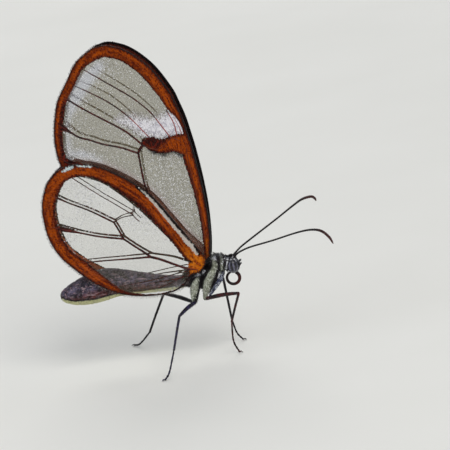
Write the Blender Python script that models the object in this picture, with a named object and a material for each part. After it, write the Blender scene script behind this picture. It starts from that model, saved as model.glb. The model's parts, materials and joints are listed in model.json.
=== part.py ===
"""A glasswing butterfly standing on four legs, its wings closed over its back: a still, life-size model.

The head looks along +X, the animal's left is +Y and the floor is Z = 0. The named sizes and the
points below are millimetres, and MM turns them into Blender's metres.
"""

import math

import bmesh
import bpy
from mathutils import Matrix, Vector
from mathutils.geometry import delaunay_2d_cdt, intersect_point_line

MM = 0.001
RIGHT, LEFT = -1, 1
SIDES = {"right": RIGHT, "left": LEFT}

# Wings: thickness, the veins that stand up from the membrane, and the mesh's spacing
WING_THICK = 0.45
EDGE_THICK = 0.34
VEIN_RISE = 0.13
VEIN_HALF = 0.24
VEIN_STEP = 1.3
OUTLINE_STEP = 0.95
MEMBRANE_STEP = 1.5
FORE_HINGE = (0.9, 11.7)
HIND_HINGE = (-0.3, 11.6)
LEFT_FOREWING_LEAD = math.radians(0.9)

# Forewing outline (x, z) from the hinge up the front edge to the tip, down the outer edge to the
# rear corner, and back along the inner edge
FORE_FRONT = [(1.7, 12.25), (2.1, 14.6), (2.3, 18.0), (2.2, 21.6), (1.9, 25.2), (1.3, 29.3), (0.2, 33.0),
              (-1.5, 36.0), (-3.8, 38.3), (-6.2, 39.4), (-7.9, 39.2)]
FORE_OUTER = [(-7.9, 39.2), (-10.0, 37.8), (-11.5, 35.7), (-12.7, 34.0), (-13.3, 32.8), (-14.0, 30.4),
              (-14.3, 28.3), (-14.2, 26.0), (-13.4, 24.6)]
FORE_INNER = [(-13.4, 24.6), (-11.5, 23.8), (-9.2, 22.6), (-6.1, 19.4), (-3.5, 15.9), (-1.2, 12.7), (0.1, 11.95)]

# Hindwing outline from the front of its root along the upper edge, round the outer edge and back
# under the abdomen's side
HIND_UPPER = [(0.4, 12.8), (-1.2, 14.9), (-2.9, 17.6), (-4.5, 20.4), (-6.3, 22.5), (-8.3, 24.2), (-10.4, 25.4),
              (-12.6, 25.7)]
HIND_OUTER = [(-12.6, 25.7), (-14.6, 25.2), (-16.2, 23.7), (-17.1, 21.5), (-17.3, 19.2), (-17.0, 16.7),
              (-15.9, 14.3), (-14.0, 12.4), (-11.6, 10.6), (-9.1, 9.3), (-6.0, 8.7), (-3.3, 8.8), (-1.5, 9.7)]
HIND_ROOT = [(-1.5, 9.7), (-0.9, 10.6), (0.3, 10.7), (1.1, 11.4), (1.0, 12.3), (0.4, 12.8)]

# Veins of each wing (x, z); those that meet share a point
CELL_TOP = (-3.9, 26.8)
CELL_LOW = (-4.6, 25.9)
BAR_TOP = (-0.4, 27.1)
CUBITAL_MEET = (-4.1, 20.1)
FORE_VEINS = [
    [(-9.2, 36.9), (-5.1, 33.6), (-2.3, 30.6), BAR_TOP],
    [(-10.8, 35.3), (-6.8, 32.5), (-4.8, 30.3), (-2.9, 27.5)],
    [(-12.3, 34.0), (-8.3, 30.9), (-5.6, 28.7), CELL_TOP],
    [(-13.1, 30.4), (-11.2, 28.8), (-8.6, 27.6), CELL_LOW],
    [CELL_TOP, CELL_LOW],
    [CELL_TOP, (-2.5, 26.1), (-1.3, 26.3), BAR_TOP],
    [CELL_LOW, (-4.6, 22.4), CUBITAL_MEET],
    [CUBITAL_MEET, (-2.0, 16.4), (0.3, 12.9)],
    [BAR_TOP, (1.0, 24.7), (1.7, 19.0), (1.3, 12.9)],
]
CELL_UPPER = (-9.0, 18.0)
CELL_MIDDLE = (-8.2, 15.8)
CELL_REAR = (-5.3, 13.2)
DISC_TOP = (-6.5, 18.6)
HIND_VEINS = [
    [(-15.3, 22.0), (-11.6, 19.8), CELL_UPPER],
    [(-15.8, 18.2), (-12.0, 16.8), CELL_MIDDLE],
    [CELL_UPPER, CELL_MIDDLE],
    [CELL_MIDDLE, CELL_REAR],
    [CELL_REAR, (-3.0, 12.3), (-0.9, 11.3)],
    [(-13.4, 13.6), (-8.4, 13.4), CELL_REAR],
    [(-13.0, 24.2), (-10.2, 21.7), DISC_TOP],
    [CELL_UPPER, (-7.8, 18.4), DISC_TOP],
    [DISC_TOP, (-5.9, 17.7)],
]

# Bodies along X: (x, height of the middle, half height, half width)
ABDOMEN = [(-2.3, 9.45, 0.68, 0.62), (-3.2, 9.45, 0.88, 0.78), (-5.2, 9.65, 1.1, 0.92), (-7.9, 10.1, 1.4, 1.1),
           (-9.9, 10.4, 1.68, 1.28), (-11.5, 10.4, 1.92, 1.38), (-13.2, 10.05, 1.8, 1.34), (-14.7, 9.8, 1.6, 1.2),
           (-16.1, 9.65, 1.15, 0.88), (-17.0, 9.6, 0.6, 0.5)]
ABDOMEN_RINGS = [-3.6, -5.3, -7.2, -9.2, -11.2, -13.2, -15.1, -16.4]
RING_DEPTH = 0.05
RING_HALF = 0.3
THORAX = [(-1.9, 9.6, 0.78, 0.76), (-1.4, 9.7, 1.15, 1.1), (-0.5, 9.85, 1.55, 1.42), (0.5, 10.05, 1.68, 1.5),
          (1.4, 10.45, 1.66, 1.45), (2.0, 10.85, 1.35, 1.2), (2.3, 11.0, 1.0, 0.95)]
PROTHORAX = [(2.62, 10.95, 0.84, 0.76), (2.84, 10.95, 0.98, 0.88), (3.06, 10.93, 0.82, 0.72)]
HEAD = [(3.42, 10.8, 0.5, 0.36), (3.65, 10.8, 0.76, 0.42), (4.1, 10.78, 0.92, 0.44), (4.45, 10.75, 0.78, 0.42),
        (4.66, 10.7, 0.5, 0.32)]
END_BULGE = 0.07
EYE_MIDDLE = (4.17, 0.68, 10.72)
EYE_RADII = (0.66, 0.5, 0.9)

# Mouthparts and antennae
COIL_MIDDLE = (3.92, 9.02)
COIL_RADIUS = 0.76
COIL_FROM, COIL_TO = math.radians(46), math.radians(-232)
COIL_THICK = 0.44
PALP_PATH = [(5.05, 0.28, 10.4), (5.2, 0.33, 10.6), (5.38, 0.36, 10.95)]
ANTENNA_RADIUS = 0.25
CLUB_RADIUS = 0.29
ANTENNA_RIGHT = [(4.62, -0.42, 11.9), (5.65, -0.99, 12.5), (6.9, -1.5, 12.9), (9.63, -2.1, 13.45), (12.57, -2.6, 14.1),
                 (14.41, -3.1, 14.35), (15.67, -3.55, 14.2), (16.53, -4.0, 13.4), (16.95, -4.5, 12.6)]
ANTENNA_LEFT = [(4.42, 0.42, 11.95), (5.62, 0.99, 12.6), (7.85, 1.54, 13.8), (9.94, 2.1, 14.9), (12.26, 2.6, 16.2),
                (13.32, 3.1, 16.65), (14.32, 3.55, 16.7), (14.7, 4.0, 16.3), (14.8, 4.5, 15.8)]

# Legs: coxa top, coxa end, knee, ankle, last joint of the foot and toe, with the radii there
FOOT_HEIGHT = 0.15
LEG_RADII = (0.46, 0.34, 0.28, 0.26, 0.25, 0.24)
LEGS = {
    "midleg_right": [(0.98, -1.15, 8.4), (0.4, -1.6, 7.35), (4.85, -4.2, 8.2), (3.1, -2.0, 4.2),
                     (2.85, -1.5, 1.7), (3.3, -1.3, FOOT_HEIGHT)],
    "midleg_left": [(0.98, 1.15, 8.4), (0.5, 1.6, 7.3), (1.85, 6.0, 7.75), (2.3, 4.1, 2.8),
                    (2.65, 3.9, 1.1), (3.3, 3.85, FOOT_HEIGHT)],
    "hindleg_right": [(-0.5, -1.05, 8.2), (-0.8, -1.65, 7.2), (-2.55, -4.8, 6.55), (-3.4, -8.0, 3.4),
                      (-4.3, -8.65, 1.0), (-4.95, -8.75, FOOT_HEIGHT)],
    "hindleg_left": [(-0.5, 1.05, 8.2), (-1.5, 1.4, 6.3), (-5.4, 4.3, 7.1), (-8.2, 5.8, 2.1),
                     (-9.8, 7.0, 0.5), (-10.7, 7.8, FOOT_HEIGHT)],
}
TOE_REACH = 0.7
FORELEG_PATH = [(2.8, 0.6, 9.62), (2.6, 0.9, 9.05), (1.7, 1.2, 8.0)]
FORELEG_RADII = (0.28, 0.32, 0.18)

COLOURS = {
    "membrane": ((0.52, 0.5, 0.44), 0.35),
    "abdomen": ((0.1, 0.085, 0.1), 0.7),
    "thorax": ((0.05, 0.04, 0.035), 0.8),
    "collar": ((0.62, 0.62, 0.52), 0.8),
    "head": ((0.03, 0.03, 0.03), 0.7),
    "eye": ((0.12, 0.11, 0.15), 0.2),
    "leg": ((0.03, 0.02, 0.03), 0.45),
    "foreleg": ((0.2, 0.22, 0.32), 0.6),
    "antenna": ((0.01, 0.008, 0.008), 0.45),
    "proboscis": ((0.03, 0.01, 0.01), 0.35),
}


def clear_scene():
    for obj in list(bpy.data.objects):
        bpy.data.objects.remove(obj)


def finish_for(name):
    """One Principled material for each finish, made when it is first asked for."""
    found = bpy.data.materials.get(name)
    if found:
        return found
    colour, roughness = COLOURS[name]
    made = bpy.data.materials.new(name)
    made.use_nodes = True
    shader = made.node_tree.nodes["Principled BSDF"]
    shader.inputs["Base Color"].default_value = (*colour, 1.0)
    shader.inputs["Roughness"].default_value = roughness
    shader.inputs["Metallic"].default_value = 0.0
    return made


def add_node(name, finish, points, faces):
    """Makes one closed mesh object from points in millimetres."""
    mesh = bpy.data.meshes.new(name)
    mesh.from_pydata([Vector(p) * MM for p in points], [], faces)
    work = bmesh.new()
    work.from_mesh(mesh)
    bmesh.ops.triangulate(work, faces=work.faces)
    bmesh.ops.recalc_face_normals(work, faces=work.faces)
    work.to_mesh(mesh)
    work.free()
    mesh.shade_smooth()
    mesh.set_sharp_from_angle(angle=math.radians(35))
    mesh.materials.append(finish_for(finish))
    obj = bpy.data.objects.new(name, mesh)
    bpy.context.scene.collection.objects.link(obj)
    return obj


def ease(t):
    t = min(1.0, max(0.0, t))
    return t * t * (3 - 2 * t)


def blend_of(a, b, t):
    return a + (b - a) * t


def spline(points, spacing):
    """Evenly spaced points on a smooth curve through the given ones, both ends kept."""
    knots = [Vector(p) for p in points]
    knots = [knots[0] * 2 - knots[1]] + knots + [knots[-1] * 2 - knots[-2]]
    dense = []
    steps = 16
    for a, b, c, d in zip(knots, knots[1:], knots[2:], knots[3:]):
        for step in range(steps):
            t = step / steps
            dense.append(0.5 * (2 * b + (c - a) * t + (2 * a - 5 * b + 4 * c - d) * t ** 2
                                + (3 * b - a - 3 * c + d) * t ** 3))
    dense.append(knots[-2])
    lengths = [(q - p).length for p, q in zip(dense, dense[1:])]
    total = sum(lengths)
    count = max(1, round(total / spacing))
    found, walked, index = [dense[0]], 0.0, 0
    for k in range(1, count):
        goal = total * k / count
        while walked + lengths[index] < goal:
            walked += lengths[index]
            index += 1
        found.append(dense[index].lerp(dense[index + 1], (goal - walked) / lengths[index]))
    found.append(dense[-1])
    return found


def above_inner_edge(x, z):
    """How far (x, z) is above the forewing's inner edge, negative below it."""
    straight = ((x - 0.3) * 13.2 + (z - 12.3) * 12.3) / 18.04
    return straight + 1.3 * ease((-x - 8.0) / 6.0)


def forewing_spread(x, z):
    """Distance of the forewing's middle from the plane between the two pairs of wings."""
    spread = 0.36 + 0.2 * ease((above_inner_edge(x, z) - 1.5) / 5.0)
    from_hinge = math.hypot(x - FORE_HINGE[0], z - FORE_HINGE[1])
    spread += 0.65 * math.exp(-((from_hinge / 2.2) ** 2))
    from_bulge = math.hypot(x + 8.0, z - 33.6)
    return spread + 0.6 * math.exp(-((from_bulge / 4.2) ** 2))


def hindwing_spread(x, z):
    """The same for the hindwing: outside the forewing where they overlap, round the abdomen below."""
    over_forewing = 0.43 * ease((above_inner_edge(x, z) + 2.6) / 2.4)
    round_abdomen = 1.3 * ease((14.2 - z) / 3.6)
    spread = 0.62 + (over_forewing ** 4 + round_abdomen ** 4) ** 0.25
    from_hinge = math.hypot(x - HIND_HINGE[0], z - HIND_HINGE[1])
    return blend_of(spread, 2.1, ease((4.5 - from_hinge) / 3.3))


def inside(loop, point):
    """Whether a flat point lies within a closed loop of points."""
    found = False
    for p, q in zip(loop, loop[1:] + loop[:1]):
        if (p.y > point.y) != (q.y > point.y):
            if point.x < p.x + (point.y - p.y) * (q.x - p.x) / (q.y - p.y):
                found = not found
    return found


def distance_to(line, point):
    """The distance from a flat point to a line of points."""
    nearest = math.inf
    for p, q in zip(line, line[1:]):
        foot, share = intersect_point_line(point, p, q)
        foot = p.lerp(q, min(1.0, max(0.0, share)))
        nearest = min(nearest, (point - foot).length)
    return nearest


def beside(line, shift):
    """The line moved sideways in its plane."""
    moved = []
    for i, point in enumerate(line):
        along = (line[min(i + 1, len(line) - 1)] - line[max(i - 1, 0)]).normalized()
        moved.append(point + Vector((-along.y, along.x)) * shift)
    return moved


def wing_triangles(outline, veins):
    """Flat triangles of a wing, with edges along its veins and both feet of each ridge."""
    points, edges = [], []

    def add_line(line, closed=False):
        first = len(points)
        points.extend(line)
        edges.extend((first + i, first + i + 1) for i in range(len(line) - 1))
        if closed:
            edges.append((len(points) - 1, first))

    add_line(outline, closed=True)
    for vein in veins:
        for shift in (-VEIN_HALF, 0.0, VEIN_HALF):
            add_line(beside(vein, shift) if shift else vein)
    low = Vector((min(p.x for p in outline), min(p.y for p in outline)))
    high = Vector((max(p.x for p in outline), max(p.y for p in outline)))
    lines = [outline + outline[:1]] + veins
    row = 0
    y = low.y
    while y < high.y:
        x = low.x + (row % 2) * MEMBRANE_STEP / 2
        while x < high.x:
            point = Vector((x, y))
            if inside(outline, point) and min(distance_to(line, point) for line in lines) > MEMBRANE_STEP * 0.45:
                points.append(point)
            x += MEMBRANE_STEP
        y += MEMBRANE_STEP * 0.87
        row += 1
    found = delaunay_2d_cdt(points, edges, [], 0, 1e-4)
    flat, triangles = found[0], found[2]
    kept = []
    for triangle in triangles:
        middle = sum((flat[i] for i in triangle), Vector((0, 0))) / 3
        if inside(outline, middle):
            kept.append(tuple(triangle))
    used = sorted({i for triangle in kept for i in triangle})
    order = {old: new for new, old in enumerate(used)}
    return [flat[i] for i in used], [tuple(order[i] for i in t) for t in kept]


def ridge_height(point, veins):
    """How far the outer face stands up at a flat point: a low ridge over each vein."""
    highest = 0.0
    for vein in veins:
        share = 1 - distance_to(vein, point) / VEIN_HALF
        highest = max(highest, share)
    return VEIN_RISE * highest


def add_wing(name, runs, vein_points, spread, side, lead=0.0):
    """A thin curved sheet: the same triangles on both faces, its veins raised on the outer one."""
    outline = []
    for run in runs:
        outline.extend(spline(run, OUTLINE_STEP)[:-1])
    veins = [spline(vein, VEIN_STEP) for vein in vein_points]
    flat, triangles = wing_triangles(outline, veins)
    edge_uses = {}
    for a, b, c in triangles:
        for edge in ((a, b), (b, c), (c, a)):
            edge_uses[frozenset(edge)] = edge_uses.get(frozenset(edge), []) + [edge]
    rim = [uses[0] for uses in edge_uses.values() if len(uses) == 1]
    on_rim = {i for edge in rim for i in edge}
    turn = Matrix.Rotation(-lead, 2)
    hinge = Vector(FORE_HINGE)
    outer, inner = [], []
    for i, point in enumerate(flat):
        middle = spread(point.x, point.y)
        half = (EDGE_THICK if i in on_rim else WING_THICK) / 2
        x, z = hinge + turn @ (point - hinge)
        outer.append((x, side * (middle + half + ridge_height(point, veins)), z))
        inner.append((x, side * (middle - half), z))
    count = len(flat)
    faces = list(triangles)
    faces += [(c + count, b + count, a + count) for a, b, c in triangles]
    faces += [(b, a, a + count) for a, b in rim]
    faces += [(b, a + count, b + count) for a, b in rim]
    return add_node(name, "membrane", outer + inner, faces)


def rings_to_faces(ring_count, sides, first_pole, last_pole):
    """Faces between rings of points, with a pole at each end."""
    faces = []
    for ring in range(ring_count - 1):
        for k in range(sides):
            after = (k + 1) % sides
            faces.append((ring * sides + k, ring * sides + after,
                          (ring + 1) * sides + after, (ring + 1) * sides + k))
    last = (ring_count - 1) * sides
    for k in range(sides):
        after = (k + 1) % sides
        faces.append((after, k, first_pole))
        faces.append((last + k, last + after, last_pole))
    return faces


def add_body(name, finish, stations, sides=18, step=0.6, grooves=()):
    """A rounded body along X through the given oval sections."""
    sections = spline([Vector(s) for s in stations], step)
    points = []
    for x, z, half_height, half_width in sections:
        dip = max((1 - abs(x - g) / RING_HALF for g in grooves), default=0.0)
        size = 1 - RING_DEPTH * max(0.0, dip)
        for k in range(sides):
            angle = 2 * math.pi * k / sides
            points.append((x, half_width * size * math.cos(angle), z + half_height * size * math.sin(angle)))
    for end, inner in ((0, 1), (-1, -2)):
        x, z, half_height, _ = sections[end]
        bulge = math.copysign(END_BULGE, x - sections[inner][0])
        points.append((x + bulge, 0.0, z))
    faces = rings_to_faces(len(sections), sides, len(points) - 2, len(points) - 1)
    return add_node(name, finish, points, faces)


def rounded_path(points, radii, bend):
    """Points and radii along straight lengths whose corners are rounded."""
    joints = [Vector(p) for p in points]
    path, sizes = [joints[0]], [radii[0]]
    for i in range(1, len(joints) - 1):
        before, here, after = joints[i - 1], joints[i], joints[i + 1]
        start = here + (before - here).normalized() * min(bend, (before - here).length * 0.45)
        end = here + (after - here).normalized() * min(bend, (after - here).length * 0.45)
        for t in (0.0, 0.33, 0.67, 1.0):
            path.append(start.lerp(here, t).lerp(here.lerp(end, t), t))
            sizes.append(radii[i])
    path.append(joints[-1])
    sizes.append(radii[-1])
    return path, sizes


def add_tube(name, finish, path, radii, sides=8, floor=False):
    """A round tube along a path that starts level, its ends domed. On the floor it gets a flat at Z = 0."""
    points = []
    along = (path[1] - path[0]).normalized()
    across = along.cross(Vector((0, 0, 1))).normalized()
    for i, (here, radius) in enumerate(zip(path, radii)):
        ahead = path[min(i + 1, len(path) - 1)] - path[max(i - 1, 0)]
        ahead.normalize()
        across = (across - ahead * across.dot(ahead)).normalized()
        other = ahead.cross(across)
        for k in range(sides):
            angle = 2 * math.pi * (k + 0.5) / sides
            points.append(here + (across * math.cos(angle) + other * math.sin(angle)) * radius)
    points.append(path[0] - (path[1] - path[0]).normalized() * radii[0] * 0.6)
    points.append(path[-1] + (path[-1] - path[-2]).normalized() * radii[-1] * 0.6)
    if floor:
        for point in points:
            point.z = max(0.0, point.z)
    faces = rings_to_faces(len(path), sides, len(points) - 2, len(points) - 1)
    return add_node(name, finish, points, faces)


def add_eye(name, side):
    """The outer part of an egg-shaped eye, cut flat where it faces the head."""
    work = bmesh.new()
    bmesh.ops.create_uvsphere(work, u_segments=16, v_segments=10, radius=1.0)
    bmesh.ops.scale(work, vec=EYE_RADII, verts=work.verts)
    cut = bmesh.ops.bisect_plane(work, geom=work.verts[:] + work.edges[:] + work.faces[:],
                                 plane_co=(0, 0, 0), plane_no=(0, side, 0), clear_inner=True)
    rim = [e for e in cut["geom_cut"] if isinstance(e, bmesh.types.BMEdge)]
    bmesh.ops.contextual_create(work, geom=rim)
    x, y, z = EYE_MIDDLE
    points = [(v.co.x + x, v.co.y + side * y, v.co.z + z) for v in work.verts]
    work.verts.index_update()
    faces = [tuple(v.index for v in f.verts) for f in work.faces]
    work.free()
    return add_node(name, "eye", points, faces)


def add_wings():
    for name, side in SIDES.items():
        lead = LEFT_FOREWING_LEAD if side == LEFT else 0.0
        root = [FORE_INNER[-1], FORE_FRONT[0]]
        add_wing("forewing_" + name, [FORE_FRONT, FORE_OUTER, FORE_INNER, root], FORE_VEINS,
                 forewing_spread, side, lead)
        add_wing("hindwing_" + name, [HIND_UPPER, HIND_OUTER, HIND_ROOT], HIND_VEINS, hindwing_spread, side)


def add_trunk():
    add_body("abdomen", "abdomen", ABDOMEN, sides=20, step=0.42, grooves=ABDOMEN_RINGS)
    add_body("thorax", "thorax", THORAX, sides=20, step=0.45)
    add_body("prothorax", "collar", PROTHORAX, sides=16, step=0.2)


def add_antenna(name, points):
    """A thin feeler whose last quarter thickens to a hooked club."""
    path = spline(points, 0.75)
    last = len(path) - 1
    radii = [blend_of(ANTENNA_RADIUS, CLUB_RADIUS, ease((i / last - 0.7) / 0.15)) for i in range(last + 1)]
    radii[-1] = 0.14
    radii[-2] = 0.24
    add_tube(name, "antenna", path, radii, sides=7)


def add_head():
    add_body("head", "head", HEAD, sides=16, step=0.24)
    for name, side in SIDES.items():
        add_eye("eye_" + name, side)
        palp = [Vector((x, side * y, z)) for x, y, z in PALP_PATH]
        add_tube("palp_" + name, "head", palp, (0.2, 0.2, 0.08), sides=7)
    add_antenna("antenna_right", ANTENNA_RIGHT)
    add_antenna("antenna_left", ANTENNA_LEFT)
    turns = 22
    coil = []
    for i in range(turns + 1):
        angle = blend_of(COIL_FROM, COIL_TO, i / turns)
        coil.append(Vector((COIL_MIDDLE[0] + COIL_RADIUS * math.cos(angle), 0.0,
                            COIL_MIDDLE[1] + COIL_RADIUS * math.sin(angle))))
    add_tube("proboscis", "proboscis", coil, [COIL_THICK / 2] * len(coil), sides=8)


def add_legs():
    for name, joints in LEGS.items():
        ankle_end, toe = Vector(joints[-2]), Vector(joints[-1])
        ahead = toe - ankle_end
        ahead.z = 0.0
        foot = joints + [toe + ahead.normalized() * TOE_REACH]
        path, radii = rounded_path(foot[::-1], (LEG_RADII + LEG_RADII[-1:])[::-1], 0.5)
        add_tube(name, "leg", path, radii, sides=8, floor=True)
    for name, side in SIDES.items():
        folded = [(x, side * y, z) for x, y, z in FORELEG_PATH]
        path, radii = rounded_path(folded, FORELEG_RADII, 0.4)
        add_tube("foreleg_" + name, "foreleg", path, radii, sides=8)


clear_scene()
add_wings()
add_trunk()
add_head()
add_legs()
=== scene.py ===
# %% [markdown]
# # A glasswing butterfly at rest
# The real animal is about as long as a thumb joint. It stands on four legs with its clear wings closed
# over its back. A measured frame already holds its true sizes: one plain solid for each part. This
# lesson dresses that frame. Every piece keeps the place that the frame gives it.

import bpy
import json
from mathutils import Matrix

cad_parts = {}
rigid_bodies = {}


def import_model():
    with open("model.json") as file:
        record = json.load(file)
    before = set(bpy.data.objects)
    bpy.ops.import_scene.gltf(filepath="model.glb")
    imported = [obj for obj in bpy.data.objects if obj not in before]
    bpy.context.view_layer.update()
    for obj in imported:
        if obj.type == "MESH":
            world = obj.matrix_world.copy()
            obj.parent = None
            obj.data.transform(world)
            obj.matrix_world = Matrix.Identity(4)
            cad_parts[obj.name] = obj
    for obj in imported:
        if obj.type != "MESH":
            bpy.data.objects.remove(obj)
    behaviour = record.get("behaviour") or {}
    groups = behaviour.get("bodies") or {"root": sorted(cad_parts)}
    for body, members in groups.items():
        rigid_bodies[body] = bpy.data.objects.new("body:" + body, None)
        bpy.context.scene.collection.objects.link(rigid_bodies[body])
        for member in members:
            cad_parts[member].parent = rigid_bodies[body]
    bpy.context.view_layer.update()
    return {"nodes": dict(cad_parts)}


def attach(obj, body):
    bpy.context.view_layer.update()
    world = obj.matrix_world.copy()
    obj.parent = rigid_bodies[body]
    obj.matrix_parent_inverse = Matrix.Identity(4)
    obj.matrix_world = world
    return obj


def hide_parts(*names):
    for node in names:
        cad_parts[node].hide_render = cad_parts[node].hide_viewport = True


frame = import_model()
print("nodes in the frame:", len(frame["nodes"]))

# %% [markdown]
# ## Tools for the whole lesson
# The sizes below are millimetres, because a wing scale is a tenth of one. Blender counts in metres, so
# MM turns one into the other. Operators act on all that is selected, so a helper selects one piece
# alone before each step.

# %% Units and selection
import json
import math

import bpy
import numpy as np
from mathutils import Matrix, Vector

MM = 0.001
RIGHT, LEFT = -1, 1
bpy.context.scene.view_settings.view_transform = "Standard"


def select_only(*pieces):
    bpy.ops.object.select_all(action="DESELECT")
    for piece in pieces:
        piece.select_set(True)
    bpy.context.view_layer.objects.active = pieces[0]


def named(name):
    """Gives the piece that an operator has just made its name."""
    piece = bpy.context.object
    piece.name = name
    piece.data.name = name
    return piece


def joined(name, pieces):
    select_only(*pieces)
    if len(pieces) > 1:
        bpy.ops.object.join()
    return named(name)


def settled(piece):
    """Moves a piece's place, turn and scale into its mesh."""
    select_only(piece)
    bpy.ops.object.transform_apply(location=True, rotation=True, scale=True)
    return piece


bpy.ops.object.select_all(action="DESELECT")


# %% Modifiers and clean meshes
def open_all(piece):
    """Opens a piece in edit mode with all of it selected."""
    select_only(piece)
    bpy.ops.object.mode_set(mode="EDIT")
    bpy.ops.mesh.select_all(action="SELECT")


def modified(piece, kind, **settings):
    """Adds a modifier, sets it and applies it."""
    select_only(piece)
    modifier = piece.modifiers.new(kind.lower(), kind)
    for key, value in settings.items():
        setattr(modifier, key, value)
    bpy.ops.object.modifier_apply(modifier=modifier.name)
    return piece


def closed_and_turned_out(piece):
    """Merges doubled points and turns every face outwards."""
    open_all(piece)
    bpy.ops.mesh.remove_doubles(threshold=1e-7)
    bpy.ops.mesh.normals_make_consistent(inside=False)
    bpy.ops.object.mode_set(mode="OBJECT")
    return piece


def rounded(piece, angle=50):
    select_only(piece)
    bpy.ops.object.shade_smooth_by_angle(angle=math.radians(angle))
    return piece


print("mesh helpers ready")

# %% [markdown]
# ## Points, smooth lines and marks
# A wing's edge or a leg is a few named points. A smooth line runs through them, and further columns,
# such as a thickness, ride along. A mark is a number kept at each point of a mesh, which a material
# reads later: how far it is to the wing's edge, or to a vein.

# %% Points and marks
def numbers_of(items, key, width, kind=np.float32):
    """One property of all the items, as rows of so many numbers."""
    flat = np.empty(len(items) * width, kind)
    items.foreach_get(key, flat)
    return flat.reshape(-1, width)


def points_of(piece):
    return numbers_of(piece.data.vertices, "co", 3).astype(float) / MM


def place_points(piece, points):
    piece.data.vertices.foreach_set("co", (np.asarray(points) * MM).astype(np.float32).ravel())
    piece.data.update()
    return piece


def mark(piece, name, values):
    layer = piece.data.attributes.new(name, "FLOAT", "POINT")
    layer.data.foreach_set("value", np.asarray(values, np.float32))


def mark_all(piece, marks):
    for name, values in marks.items():
        mark(piece, name, values)


print("point helpers ready")


# %% Smooth lines
def walked_along(line, axes):
    """How far each sample is along its line."""
    return np.r_[0, np.cumsum(np.linalg.norm(np.diff(line[:, :axes], axis=0), axis=1))]


def smooth_line(points, spacing, axes):
    """Even samples on a curve through the points. The first axes columns are the place."""
    knots = np.array(points, float)
    knots = np.vstack([2 * knots[0] - knots[1], knots, 2 * knots[-1] - knots[-2]])
    t = np.linspace(0, 1, 24, endpoint=False)[:, None]
    dense = []
    for a, b, c, d in zip(knots, knots[1:], knots[2:], knots[3:]):
        dense.append(0.5 * (2 * b + (c - a) * t + (2 * a - 5 * b + 4 * c - d) * t**2
                            + (3 * b - a - 3 * c + d) * t**3))
    dense = np.vstack(dense + [knots[-2:-1]])
    walked = walked_along(dense, axes)
    goals = np.linspace(0, walked[-1], max(2, round(walked[-1] / spacing) + 1))
    return np.stack([np.interp(goals, walked, column) for column in dense.T], axis=1)


def nearest_on(line, places, axes):
    """Each place's distance to a sampled line, and the line's further columns at its nearest point."""
    start, step = line[:-1], np.diff(line[:, :axes], axis=0)
    length = np.maximum((step**2).sum(1), 1e-12)
    offset = places[:, None, :axes] - start[None, :, :axes]
    share = np.clip((offset * step).sum(2) / length, 0, 1)
    gap = np.linalg.norm(offset - share[..., None] * step, axis=2)
    best = gap.argmin(1)
    rows = np.arange(len(places))
    t = share[rows, best, None]
    return gap[rows, best], line[best, axes:] * (1 - t) + line[best + 1, axes:] * t


def ease(t):
    t = np.clip(t, 0, 1)
    return t * t * (3 - 2 * t)


print("samples on a 3 mm line at 1 mm:", len(smooth_line([(0, 0), (3, 0)], 1.0, 2)))


# %% Round rods
def tube(name, line, sides=8):
    """A round rod along samples (x, y, z, radius): a curve with thickness, turned into a mesh."""
    bpy.ops.object.select_all(action="DESELECT")
    bpy.ops.curve.primitive_bezier_curve_add()
    piece = named(name)
    curve = piece.data
    curve.splines.clear()
    run = curve.splines.new("POLY")
    run.points.add(len(line) - 1)
    for point, (x, y, z, radius) in zip(run.points, line):
        point.co = (x * MM, y * MM, z * MM, 1)
        point.radius = radius
    curve.bevel_depth = MM
    curve.bevel_resolution = sides // 2 - 2
    curve.use_fill_caps = True
    curve.dimensions = "3D"
    select_only(piece)
    bpy.ops.object.convert(target="MESH")
    return closed_and_turned_out(settled(named(name)))


print("rod helper ready")

# %% [markdown]
# ## The view and the light
# The animal is seen from its right side, from a little above and in front. The picture is rolled,
# because the animal stood on a slope: here the floor is level and the camera leans instead. A long
# lens keeps the wings flat and true. The lamps are large and soft, like the sky on a cloudy day, and a
# pale floor throws some of their light back.

# %% Camera
AZIMUTH, ELEVATION, ROLL = math.radians(8), math.radians(14), math.radians(10)
DISTANCE, LENS = 0.40, 268.7
AIM = Vector((4.05, 0.0, 15.6)) * MM
along_view = Vector((-math.sin(AZIMUTH) * math.cos(ELEVATION), math.cos(AZIMUTH) * math.cos(ELEVATION),
                     -math.sin(ELEVATION)))
level = Vector((math.cos(AZIMUTH), math.sin(AZIMUTH), 0.0))
upright = level.cross(along_view)
axis_x = math.cos(ROLL) * level - math.sin(ROLL) * upright
axis_y = math.sin(ROLL) * level + math.cos(ROLL) * upright
bpy.ops.object.camera_add(location=AIM - DISTANCE * along_view)
camera = named("camera")
camera.rotation_euler = Matrix((axis_x, axis_y, -along_view)).transposed().to_euler()
camera.data.lens = LENS
camera.data.clip_start = 0.01
bpy.context.scene.camera = camera
print("camera stands at, m:", [round(c, 3) for c in camera.location])

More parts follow.
